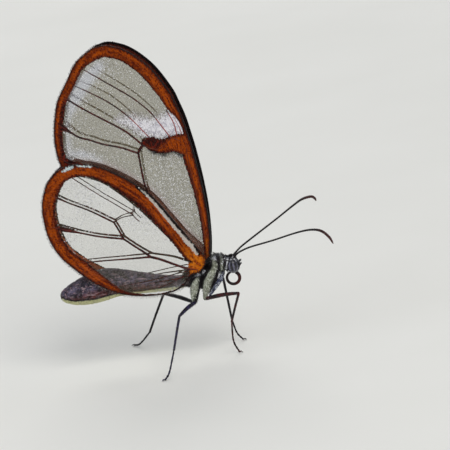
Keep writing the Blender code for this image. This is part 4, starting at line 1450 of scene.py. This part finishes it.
abdomen = g.mix(g.step(belly, 0.04, -0.08), abdomen, cream)
abdomen = g.mix(g.by_mark("ring", 0.12, 0.03), abdomen, g.mix(0.45, abdomen, (18, 14, 16)))
print("steps for the abdomen:", len(g.tree.nodes))

# %% Body colours: plates and white scales
skin = g.mix(g.mark("abdomen"), black, abdomen)
plate_edge = g.plus(g.mark("plate"), ragged)
plate = g.mix(g.blotches(2800.0, 3.0, 0.35, 0.7), (132, 136, 116), (202, 206, 188))
plate = g.mix(g.blotches(5200.0, 2.0, 0.58, 0.68), plate, (92, 94, 84))
plate = g.mix(g.step(plate_edge, -0.18, -0.02), plate, (92, 96, 86))
skin = g.mix(g.step(plate_edge, 0.05, -0.03), skin, plate)
skin = g.mix(g.by_mark("white", 0.05, -0.03, ragged), skin, (222, 228, 238))
g.tree.links.new(skin, wanted["Colour"])
print("steps for the body:", len(g.tree.nodes))


# %% Body material
def body_material(name, roughness, shift=None):
    """The body's colours with a fine grain. shift is a mark that varies from blade to blade."""
    material, steps, shader = new_material(name, roughness)
    tones = steps.node("ShaderNodeGroup", node_tree=bpy.data.node_groups["body_tones"])
    colour = tones.outputs["Colour"]
    if shift:
        tone = steps.mark(shift)
        steps.tree.links.new(tone, tones.inputs["Shift"])
        # Some blades are lighter than the skin below, and some are darker.
        colour = steps.mix(steps.times(steps.step(tone, 0.6, 1.0), 0.4), colour, (150, 144, 150))
        colour = steps.mix(steps.times(steps.step(tone, 0.45, 0.0), 0.55), colour, (14, 10, 12))
    wire_up(steps, shader, Base_Color=colour, Normal=steps.bump(steps.noise(8000.0, 3.0), 0.03 * MM, 0.7))
    return material


body.data.materials.append(body_material("body_skin_finish", 0.62))
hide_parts("abdomen", "thorax", "prothorax", "head")
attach(body, "root")
print("body finish:", body.data.materials[0].name)

# %% [markdown]
# ## The head: eyes
# A butterfly's eye has thousands of facets, each a tiny lens. A sphere with a fine cell pattern as its
# bump shows them at the right size without a million faces. The dark stripes run down the eye,
# so they follow the angle about its upright axis.

# %% Eye material
def eye_material():
    material, steps, shader = new_material("eye_facets", 0.26, 0.5)
    wander = steps.times(steps.minus(steps.noise(1500.0), 0.5), 0.75)
    wave = steps.sine(steps.times(steps.plus(steps.mark("turn"), wander), 9.0))
    stripes = steps.step(steps.plus(wave, steps.times(steps.noise(3200.0, 2.0), 0.5)), 0.85, -0.1)
    cloudy = steps.blotches(2400.0, 2.0, 0.35, 0.65)
    colour = steps.mix(cloudy, (40, 40, 58), (104, 102, 122))
    colour = steps.mix(stripes, colour, (8, 7, 18))
    colour = steps.mix(steps.by_mark("low", 0.55, 0.95), colour, (20, 18, 28))
    colour = steps.mix(steps.by_mark("low", -0.45, -0.85), colour, (112, 112, 116))
    facets = steps.node("ShaderNodeTexVoronoi", {"Vector": steps.place(), "Scale": 22000.0})
    wire_up(steps, shader, Base_Color=colour, Normal=steps.bump(facets.outputs["Distance"], 0.01 * MM, 0.35))
    shader["Coat Weight"].default_value = 0.3
    shader["Coat Roughness"].default_value = 0.18
    return material


eye_finish = eye_material()
print("eye finish:", eye_finish.name)

# %% Eyes
EYE_MIDDLE, EYE_RADII, EYE_TILT = (4.2, 0.63, 10.58), (0.67, 0.52, 0.84), math.radians(-6)
for side, word in ((RIGHT, "right"), (LEFT, "left")):
    middle = (EYE_MIDDLE[0], side * EYE_MIDDLE[1], EYE_MIDDLE[2])
    eye = ball(f"eye_ball_{word}", middle, EYE_RADII, (side * EYE_TILT, 0, 0), 64)
    offset = (points_of(eye) - middle) / EYE_RADII
    mark(eye, "turn", np.arctan2(offset[:, 0], np.abs(offset[:, 1]) + 0.15))
    mark(eye, "low", offset[:, 2])
    rounded(eye, 180)
    eye.data.materials.append(eye_finish)
    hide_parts("eye_" + word)
    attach(eye, "root")
print("faces of an eye:", len(eye.data.polygons))

# %% [markdown]
# ## The head: antennae
# An antenna is a stack of tiny segments that swells to a slim club. Antennae, proboscis and palps are
# all rods that change their thickness along the way, and a curve with a radius at each point gives
# such a shape at once. The rings are a small wave in that radius.

# %% Ringed rods
def ringed(name, path, spacing, radii, ring_length, ring_depth, sides=12):
    """A rod with fine rings. radii maps shares of its length to radius."""
    line = smooth_line(path, spacing, 3)
    walked = walked_along(line, 3)
    share = walked / walked[-1]
    radius = np.interp(share, [s for s, _ in radii], [r for _, r in radii])
    radius = radius * (1 - ring_depth * (0.5 + 0.5 * np.cos(2 * math.pi * walked / ring_length)))
    piece = tube(name, np.column_stack([line[:, :3], radius]), sides)
    gap, along = nearest_on(np.column_stack([line[:, :3], share, walked]), points_of(piece), 3)
    mark(piece, "share", along[:, 0])
    mark(piece, "walked", along[:, 1])
    return rounded(piece, 60)


print("ringed rods ready")

# %% Antennae
ANTENNA_RIGHT = [(4.4, -0.3, 11.45), (4.58, -0.36, 11.72), (5.0, -0.62, 12.08), (5.65, -0.99, 12.45),
                 (6.9, -1.5, 12.9), (9.63, -2.1, 13.45), (12.57, -2.6, 14.1), (14.41, -3.1, 14.35),
                 (15.67, -3.55, 14.15), (16.53, -4.0, 13.4), (16.95, -4.5, 12.65)]
ANTENNA_LEFT = [(4.36, 0.3, 11.45), (4.46, 0.38, 11.75), (4.92, 0.66, 12.15), (5.62, 0.99, 12.6),
                (7.85, 1.54, 13.8), (9.94, 2.1, 14.9), (12.26, 2.6, 16.2), (13.32, 3.1, 16.65),
                (14.32, 3.55, 16.7), (14.7, 4.0, 16.35), (14.8, 4.5, 15.85)]
ANTENNA_RADII = [(0.0, 0.15), (0.03, 0.15), (0.06, 0.12), (0.6, 0.115), (0.76, 0.135), (0.85, 0.175),
                 (0.94, 0.17), (0.98, 0.12), (1.0, 0.04)]
SEGMENT = 0.3


def antenna_material():
    material, steps, shader = new_material("antenna_finish", 0.45)
    segment = steps.sine(steps.times(steps.mark("walked"), 2 * math.pi / SEGMENT))
    colour = steps.mix(steps.step(segment, 0.2, 1.0), (14, 11, 12), (44, 36, 36))
    club = steps.by_mark("share", 0.78, 0.9)
    red = steps.mix(steps.noise(1800.0), (26, 8, 8), (96, 26, 22))
    colour = steps.mix(steps.times(club, 0.6), colour, red)
    wire_up(steps, shader, Base_Color=colour, Normal=steps.bump(steps.noise(9000.0), 0.015 * MM, 0.6))
    return material


antenna_finish = antenna_material()
for word, path in (("right", ANTENNA_RIGHT), ("left", ANTENNA_LEFT)):
    antenna = ringed(f"antenna_rod_{word}", path, 0.06, ANTENNA_RADII, SEGMENT, 0.12)
    antenna.data.materials.append(antenna_finish)
    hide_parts("antenna_" + word)
    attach(antenna, "root")
print("faces of an antenna:", len(antenna.data.polygons))

# %% [markdown]
# ## The head: proboscis
# The proboscis is a drinking straw, wound like a watch spring when it is not in use. Here it is the
# same ringed rod, led along a coil that winds slowly inwards from the mouth.

# %% Proboscis
COIL_MIDDLE, COIL_START, COIL_END, COIL_POINTS = (3.92, 9.02), 50, -264, 40
COIL_RADII = [(0.0, 0.22), (0.2, 0.22), (0.45, 0.195), (0.9, 0.16), (1.0, 0.11)]
COIL_RING = 0.09
coil = [(4.2, 0.0, 10.2), (4.36, 0.0, 9.95)]
for i in range(COIL_POINTS):
    share = i / (COIL_POINTS - 1)
    angle = math.radians(COIL_START + (COIL_END - COIL_START) * share)
    reach = 0.79 - 0.05 * share
    x, z = COIL_MIDDLE[0] + reach * math.cos(angle), COIL_MIDDLE[1] + reach * math.sin(angle)
    coil.append((x, 0.05 * share, z))
proboscis = ringed("proboscis_coil", coil, 0.03, COIL_RADII, COIL_RING, 0.06, 14)
print("proboscis faces:", len(proboscis.data.polygons))

# %% Proboscis material
material, steps, shader = new_material("proboscis_finish", 0.3)
band = steps.sine(steps.times(steps.mark("walked"), 2 * math.pi / COIL_RING))
reddish = steps.mix(steps.noise(1600.0), (24, 5, 5), (92, 18, 12))
share = steps.mark("share")
lower = steps.times(steps.step(share, 0.16, 0.28), steps.step(share, 0.52, 0.42))
tone = steps.mix(lower, (16, 8, 9), reddish)
wire_up(steps, shader, Base_Color=steps.mix(steps.step(band, 0.3, 1.0), tone, (52, 26, 22)))
proboscis.data.materials.append(material)
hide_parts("proboscis")
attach(proboscis, "root")
print("proboscis finish:", material.name)

# %% [markdown]
# ## The head: palps
# Two short bristly palps stand up in front of the face and guard the coiled straw. Each is a bent rod of
# three segments. They keep the body's marks and finish, and get their bristles with the coat.

# %% Palps
PALPS = {"right": [(4.4, -0.22, 9.95), (4.66, -0.27, 10.22), (4.86, -0.3, 10.52), (5.18, -0.33, 10.78)],
         "left": [(4.4, 0.22, 9.95), (4.68, 0.27, 10.3), (4.84, 0.3, 10.76), (5.12, 0.33, 11.06)]}
PALP_RADII = [(0.0, 0.13), (0.3, 0.17), (0.6, 0.14), (0.7, 0.11), (0.9, 0.09), (1.0, 0.04)]
palps = {}
for word, path in PALPS.items():
    palps[word] = ringed(f"palp_form_{word}", path, 0.05, PALP_RADII, 0.5, 0.05)
    mark_all(palps[word], body_marks(points_of(palps[word])))
    palps[word].data.materials.append(body.data.materials[0])
    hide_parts("palp_" + word)
    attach(palps[word], "root")
print("palps:", list(palps))

# %% [markdown]
# ## The legs
# A butterfly stands on four long legs. Each has a short trochanter below the coxa, a femur, a tibia and a
# foot of five joints that ends in two claws. Nearly straight rods with swollen ends look more like
# these plates of horn than one bent tube would.

# %% Leg places
# Each leg: end of the coxa, knee, ankle, last joint and toe
LEGS = {
    "midleg_right": [(0.4, -1.6, 7.35), (4.85, -4.2, 8.2), (3.1, -2.0, 4.2), (2.85, -1.5, 1.7),
                     (3.3, -1.3, 0.15)],
    "midleg_left": [(0.5, 1.6, 7.3), (1.85, 6.0, 7.75), (2.3, 4.1, 2.8), (2.65, 3.9, 1.1),
                    (3.3, 3.85, 0.15)],
    "hindleg_right": [(-0.84, -1.66, 7.12), (-2.55, -4.8, 6.55), (-3.4, -8.0, 3.4), (-4.3, -8.65, 1.0),
                      (-4.95, -8.75, 0.15)],
    "hindleg_left": [(-1.5, 1.4, 6.3), (-5.4, 4.3, 7.1), (-8.2, 5.8, 2.1), (-9.8, 7.0, 0.5),
                     (-10.7, 7.8, 0.15)],
}
# Radius along each rod: share of its length, radius
FEMUR = [(0.0, 0.17), (0.06, 0.23), (0.12, 0.22), (0.35, 0.255), (0.7, 0.225), (0.93, 0.18), (1.0, 0.16)]
TIBIA = [(0.0, 0.13), (0.05, 0.155), (0.3, 0.15), (0.9, 0.135), (1.0, 0.14)]
FOOT_JOINT = [(0.0, 0.075), (0.25, 0.1), (0.8, 0.115), (1.0, 0.1)]
FOOT_CUTS = [0, 0.42, 0.62, 0.77, 0.89, 1.0]
CLAW = [(0.0, 0.06), (0.5, 0.045), (1.0, 0.012)]
print("walking legs:", list(LEGS))


# %% Feet and claws
def rod(name, path, radii, spacing=0.12, sides=10):
    return ringed(name, path, spacing, radii, 9.0, 0.0, sides)


def foot_joints(name, foot):
    """The joints of a foot, each a little swollen towards its end."""
    joints = []
    for i, cuts in enumerate(zip(FOOT_CUTS, FOOT_CUTS[1:])):
        low, high = (round(c * (len(foot) - 1)) for c in cuts)
        piece = foot[low:high + 1]
        path = [tuple(p) for p in piece[::max(1, len(piece) // 4)]] + [tuple(piece[-1])]
        joints.append(rod(f"{name}_tarsus_{i}", path, FOOT_JOINT, 0.06))
    return joints


def foot_claws(name, foot):
    """Two hooks at the end of a foot, bent apart and down."""
    heading = Vector(foot[-1]) - Vector(foot[-4])
    heading.z = 0
    heading.normalize()
    across = heading.cross(Vector((0, 0, 1)))
    tip = Vector(foot[-1])
    claws = []
    for way in (-1, 1):
        bend = tip + heading * 0.22 + across * way * 0.1 + Vector((0, 0, 0.06))
        point = tip + heading * 0.4 + across * way * 0.16 - Vector((0, 0, 0.1))
        claws.append(rod(f"{name}_claw_{way}", [tuple(tip), tuple(bend), tuple(point)], CLAW, 0.05))
    return claws


print("joints of a foot:", len(FOOT_CUTS) - 1)


# %% Leg rods
def bowed(start, end, rise):
    """Three places from start to end, with the middle one lifted."""
    start, end = Vector(start), Vector(end)
    middle = (start + end) / 2 + Vector((0, 0, rise))
    return [tuple(start), tuple(middle), tuple(end)]


def build_leg(name, places):
    hip, knee, ankle, last, toe = places
    femur = rod(name + "_femur", bowed(hip, knee, 0.12), FEMUR)
    tibia = rod(name + "_tibia", bowed(knee, ankle, 0.05), TIBIA)
    foot = smooth_line([ankle, last, toe], 0.05, 3)
    parts = [femur, tibia, *foot_joints(name, foot), *foot_claws(name, foot)]
    return rounded(joined(name + "_rods", parts), 60)


legs = {name: build_leg(name, places) for name, places in LEGS.items()}
print("leg faces:", {name: len(leg.data.polygons) for name, leg in legs.items()})

# %% [markdown]
# ## The legs: their finish
# The legs are nearly black, but the right middle one shows dark red and the right hind one a painted dark
# blue sheen.
# The left legs, on the far side, are painted darker still, as painted shade.
# One helper makes such a finish from three colours: the horn, its tint and the specks of single scales.

# %% Leg materials
def leg_material(name, dark, tint, speck):
    """dark is the horn, tint its broad patches, speck the scales on it."""
    material, steps, shader = new_material(name, 0.4)
    colour = steps.mix(steps.blotches(1700.0, 3.0, 0.4, 0.7), dark, tint)
    colour = steps.mix(steps.blotches(6500.0, 1.0, 0.62, 0.72), colour, speck)
    wire_up(steps, shader, Base_Color=colour, Normal=steps.bump(steps.noise(9000.0, 2.0), 0.02 * MM, 0.7))
    return material


red_leg = leg_material("leg_red_black", (12, 5, 7), (78, 12, 12), (92, 60, 68))
# The right hind leg's blue tint and specks are a painted sheen.
blue_sheen_leg = leg_material("leg_blue_black", (10, 8, 18), (46, 40, 76), (104, 98, 136))
# The far legs are nearly black, and painted darker still as painted shade.
far_leg_black_and_shade = leg_material("leg_black", (8, 7, 10), (26, 20, 26), (78, 72, 86))
LEG_FINISHES = {"midleg_right": red_leg, "midleg_left": far_leg_black_and_shade, "hindleg_right": blue_sheen_leg,
                "hindleg_left": far_leg_black_and_shade}
for name, leg in legs.items():
    leg.data.materials.append(LEG_FINISHES[name])
    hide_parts(name)
    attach(leg, "root")
print("leg finishes:", [finish.name for finish in (red_leg, blue_sheen_leg, far_leg_black_and_shade)])

# %% [markdown]
# ## The reduced front legs
# In butterflies of this family the first pair of legs is far too small to stand on. It lies folded
# against the chest like a brush. One ringed rod gives its form, and the coat makes it shaggy.

# %% Reduced front legs
FORELEG = [(2.85, 0.55, 10.0), (2.62, 0.85, 9.45), (2.23, 1.02, 8.98), (1.7, 1.16, 8.42),
           (1.22, 1.3, 7.92), (1.0, 1.36, 7.7)]
FORELEG_RADII = [(0.0, 0.16), (0.3, 0.22), (0.6, 0.21), (0.9, 0.15), (1.0, 0.05)]
foreleg_finish = leg_material("foreleg_scales_finish", (44, 44, 64), (120, 124, 150), (190, 194, 206))
forelegs = {}
for side, word in ((RIGHT, "right"), (LEFT, "left")):
    path = [(x, side * y, z) for x, y, z in FORELEG]
    forelegs[word] = ringed(f"foreleg_form_{word}", path, 0.06, FORELEG_RADII, 0.6, 0.04, 14)
    forelegs[word].data.materials.append(foreleg_finish)
    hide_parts("foreleg_" + word)
    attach(forelegs[word], "root")
print("front legs:", list(forelegs))

# %% [markdown]
# ## The coat
# Short scales cover the whole skin like roof tiles, and longer hair stands on the thorax, round the
# roots of the wings and on the head. Each blade starts at a chosen spot on the skin, leans the way the
# real coat lies and keeps the marks of its root, so that it takes the skin's colour there.

# %% Scatter roots on a skin
def scatter(piece, count, weigh=None):
    """Spots on a piece by area: place, normal and place on the unwrap. weigh favours some triangles."""
    mesh = piece.data
    mesh.calc_loop_triangles()
    corners = numbers_of(mesh.loop_triangles, "vertices", 3, np.int32)
    loops = numbers_of(mesh.loop_triangles, "loops", 3, np.int32)
    wrap = numbers_of(mesh.uv_layers["OFBake"].data, "uv", 2)
    points, normals = points_of(piece), normals_of(piece)
    a, b, c = (points[corners[:, i]] for i in range(3))
    area = np.linalg.norm(np.cross(b - a, c - a), axis=1)
    if weigh is not None:
        area = area * weigh((a + b + c) / 3)
    pick = shake.choice(len(corners), count, p=area / area.sum())
    share = np.sort(shake.uniform(0, 1, (count, 2)), axis=1)
    weights = np.stack([share[:, 0], share[:, 1] - share[:, 0], 1 - share[:, 1]], axis=1)[:, :, None]
    return ((points[corners[pick]] * weights).sum(1), unit((normals[corners[pick]] * weights).sum(1)),
            (wrap[loops[pick]] * weights).sum(1))


print("scatter helper ready")


# %% Unwrap the body
def unwrap(piece):
    piece.data.uv_layers.new(name="OFBake")
    open_all(piece)
    bpy.ops.uv.smart_project(angle_limit=math.radians(70), island_margin=0.002)
    bpy.ops.object.mode_set(mode="OBJECT")


unwrap(body)
print("unwrapped corners:", len(body.data.loops))


# %% Lay a coat on a skin
def lying(normals, way, lift):
    """Directions along the skin that follow way, lifted off it by lift."""
    way = np.broadcast_to(np.asarray(way, float), normals.shape)
    flat = unit(way - normals * (way * normals).sum(1)[:, None])
    return unit(flat + normals * np.asarray(lift)[..., None])


coat_finish = body_material("body_coat_finish", 0.55, "tone")


def body_coat(name, shape, roots, ways, lift, length, width, curl, disorder=0.25, tone=None,
              finish=coat_finish):
    """A coat piece on the roots given, with the skin's marks at every root."""
    place, normal, wrap = roots
    count = len(place)
    ways = np.broadcast_to(np.asarray(ways, float), (count, 3)) + shake.normal(0, disorder, (count, 3))
    marks = body_marks(place)
    marks["tone"] = vary(count, 0, 1) if tone is None else tone
    ahead = lying(normal, unit(ways), lift)
    piece = coat(name, shape, place - normal * 0.01, normal, ahead, length, width, curl, wrap, marks)
    piece.data.materials.append(finish)
    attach(piece, "root")
    return piece


print("coat finish:", coat_finish.name)


# %% Scales of the body
def banded_material(name, colours):
    """Blades in three colours, chosen by each blade's tone."""
    material, steps, shader = new_material(name, 0.45)
    tone = steps.mark("tone")
    colour = steps.mix(steps.step(tone, 0.4, 0.45), colours[0], colours[1])
    colour = steps.mix(steps.step(tone, 0.7, 0.75), colour, colours[2])
    shade = steps.times(steps.noise(5000.0), 0.35)
    wire_up(steps, shader, Base_Color=steps.mix(shade, colour, (12, 10, 14)))
    return material


plate_coat = banded_material("plate_coat", [(108, 110, 96), (164, 168, 148), (216, 219, 208)])
BACKWARD, DOWN = (-1.0, 0.0, -0.25), (-0.35, 0.0, -1.0)
TILES = 13500
for name, chosen in (("body_front_scales", lambda places: places[:, 0] > -1.5),
                     ("abdomen_scales", lambda places: places[:, 0] < -1.2)):
    roots = scatter(body, TILES, chosen)
    tiles = body_coat(name, TILE, roots, BACKWARD, vary(TILES, 0.08, 0.25), vary(TILES, 0.14, 0.24),
                      vary(TILES, 0.035, 0.055), 0.12)
    print(name, len(tiles.data.polygons), "faces")


# %% White tufts, plate scales and hair of the joints
def on_mark(name, low, high):
    """Favours triangles where a mark of the skin lies between two values."""
    def chosen(places):
        values = body_marks(places)[name]
        return (values > low) & (values < high) & (places[:, 0] > WAIST_X)
    return chosen


TUFTS, PLATE_SCALES, JOINT_HAIRS = 1800, 3000, 2200
FACE_X, FACE_REACH = 3.8, 0.6  # round the face the tufts are half as long
roots = scatter(body, TUFTS, on_mark("white", -1.0, 0.03))
shorter = np.where(np.abs(roots[0][:, 0] - FACE_X) < FACE_REACH, 0.5, 1.0)
tuft_length = vary(TUFTS, 0.12, 0.24) * shorter
body_coat("white_tufts", TILE, roots, BACKWARD, vary(TUFTS, 0.2, 0.9), tuft_length,
          vary(TUFTS, 0.025, 0.045), 0.15, 0.4, finish=white_material)
roots = scatter(body, PLATE_SCALES, on_mark("plate", -1.0, -0.04))
body_coat("plate_scales", TILE, roots, DOWN, vary(PLATE_SCALES, 0.1, 0.3), vary(PLATE_SCALES, 0.16, 0.28),
          vary(PLATE_SCALES, 0.03, 0.055), 0.12, finish=plate_coat)
roots = scatter(body, JOINT_HAIRS, on_mark("plate", 0.04, 0.3))
body_coat("joint_hair", HAIR, roots, DOWN, vary(JOINT_HAIRS, 0.2, 0.8), vary(JOINT_HAIRS, 0.18, 0.42),
          vary(JOINT_HAIRS, 0.012, 0.02), 0.2, 0.4, vary(JOINT_HAIRS, 0, 0.55))
print("tufts, plate scales and joint hairs:", TUFTS, PLATE_SCALES, JOINT_HAIRS)

# %% [markdown]
# ## The coat: hair of thorax and head
# Hair grows in patches with a length and a lie of their own: long over the back, short on the face,
# upright behind the head. Each patch is a row of a table, and its hairs stand closest at its middle.
# One even coat would look like a soft toy.

# %% Hair of thorax and head
HAIR_WIDTHS = (0.010, 0.018)


def near(middle, reach):
    """Favours triangles near a middle, on both sides of the body."""
    def chosen(places):
        return np.exp(-(((one_side(places) - middle) / reach) ** 2).sum(1))
    return chosen


HAIR_PATCHES = [  # name, middle, reach, how many, way, lift, length, curl, tones
    ("thorax_back_hair", (1.2, 0.2, 11.8), (1.1, 0.7, 0.5), 1500, (-0.8, 0.0, 0.6), (0.5, 1.2),
     (0.35, 0.75), 0.25, (0.2, 1.0)),
    ("neck_hair", (2.7, 0.3, 11.8), (0.35, 0.6, 0.5), 800, (-0.3, 0.0, 1.0), (0.5, 1.2), (0.25, 0.5),
     0.2, (0.3, 1.0)),
    ("wing_root_hair", (1.4, 1.1, 11.2), (0.5, 0.4, 0.4), 900, (-0.5, 0.0, -0.5), (0.3, 0.9),
     (0.25, 0.5), 0.2, (0.0, 0.3)),
    ("side_hair", (0.7, 1.3, 10.4), (0.4, 0.4, 0.6), 900, (-0.7, 0.0, -0.7), (0.2, 0.7), (0.3, 0.55),
     0.2, (0.0, 0.5)),
    ("waist_hair", (-1.7, 0.8, 9.6), (0.6, 0.5, 0.6), 1000, (-1.0, 0.0, -0.5), (0.2, 0.8), (0.35, 0.8),
     0.2, (0.3, 1.0)),
    ("head_hair", (4.0, 0.2, 11.7), (0.5, 0.35, 0.3), 900, (0.2, 0.0, 1.0), (0.6, 1.6), (0.15, 0.34),
     0.1, (0.0, 0.5)),
    ("face_hair", (4.6, 0.2, 10.5), (0.3, 0.3, 0.7), 700, (0.8, 0.0, -0.5), (0.5, 1.2), (0.14, 0.3),
     0.15, (0.0, 0.9)),
    ("chest_hair", (1.2, 0.5, 8.6), (1.2, 0.5, 0.6), 900, (-0.4, 0.0, -1.0), (0.2, 0.8), (0.2, 0.45),
     0.2, (0.3, 1.0)),
]
for name, middle, reach, count, way, lift, length, curl, tones in HAIR_PATCHES:
    roots = scatter(body, count, near(np.array(middle), np.array(reach)))
    body_coat(name, HAIR, roots, way, vary(count, *lift), vary(count, *length), vary(count, *HAIR_WIDTHS),
              curl, 0.3, vary(count, *tones))
print("hair patches:", len(HAIR_PATCHES))

# %% [markdown]
# ## The coat of the limbs
# The front legs are shaggy with black, blue-grey and white scales, the palps are bristly, and
# the walking legs carry short spines. The same blades do for all of them. Each limb is unwrapped
# first, so that every blade can take its colour from the place of its root.

# %% Coat of the limbs
foreleg_coat = banded_material("foreleg_coat", [(12, 12, 22), (92, 100, 136), (222, 228, 236)])
palp_coat = banded_material("palp_coat", [(10, 9, 13), (30, 28, 40), (150, 152, 162)])
spines = banded_material("leg_spines", [(8, 6, 9), (26, 18, 24), (70, 60, 74)])
LIMB_COATS = [  # limbs, shape, how many, way, lift, length, half width, material, slot
    (forelegs, TILE, 1100, (-0.7, 0.0, -1.0), (0.1, 0.5), (0.16, 0.3), (0.03, 0.05), foreleg_coat,
     "foreleg_scales"),
    (palps, HAIR, 420, (1.0, 0.0, 0.7), (0.2, 0.7), (0.12, 0.26), (0.012, 0.02), palp_coat,
     "head_scales"),
    (legs, HAIR, 420, (0.0, 0.0, -1.0), (0.4, 0.9), (0.08, 0.17), (0.008, 0.013), spines,
     "leg_shell"),
]
for limbs, shape, count, way, lift, length, width, finish, slot in LIMB_COATS:
    for limb in limbs.values():
        unwrap(limb)
        body_coat(limb.name + "_coat", shape, scatter(limb, count), way, vary(count, *lift),
                  vary(count, *length), vary(count, *width), 0.1, 0.25, finish=finish)
print("limb coats:", sum(len(row[0]) for row in LIMB_COATS))

# %% [markdown]
# ## Counting the triangles
# A dense coat is easily made too heavy, so the triangles of the visible pieces are counted.

# %% Count the faces
pieces = [obj for obj in bpy.data.objects if obj.type == "MESH" and obj.visible_get()]
counts = {obj.name: sum(len(face.vertices) - 2 for face in obj.data.polygons) for obj in pieces}
print("triangles in all:", sum(counts.values()), "most in one piece:", max(counts.values()))
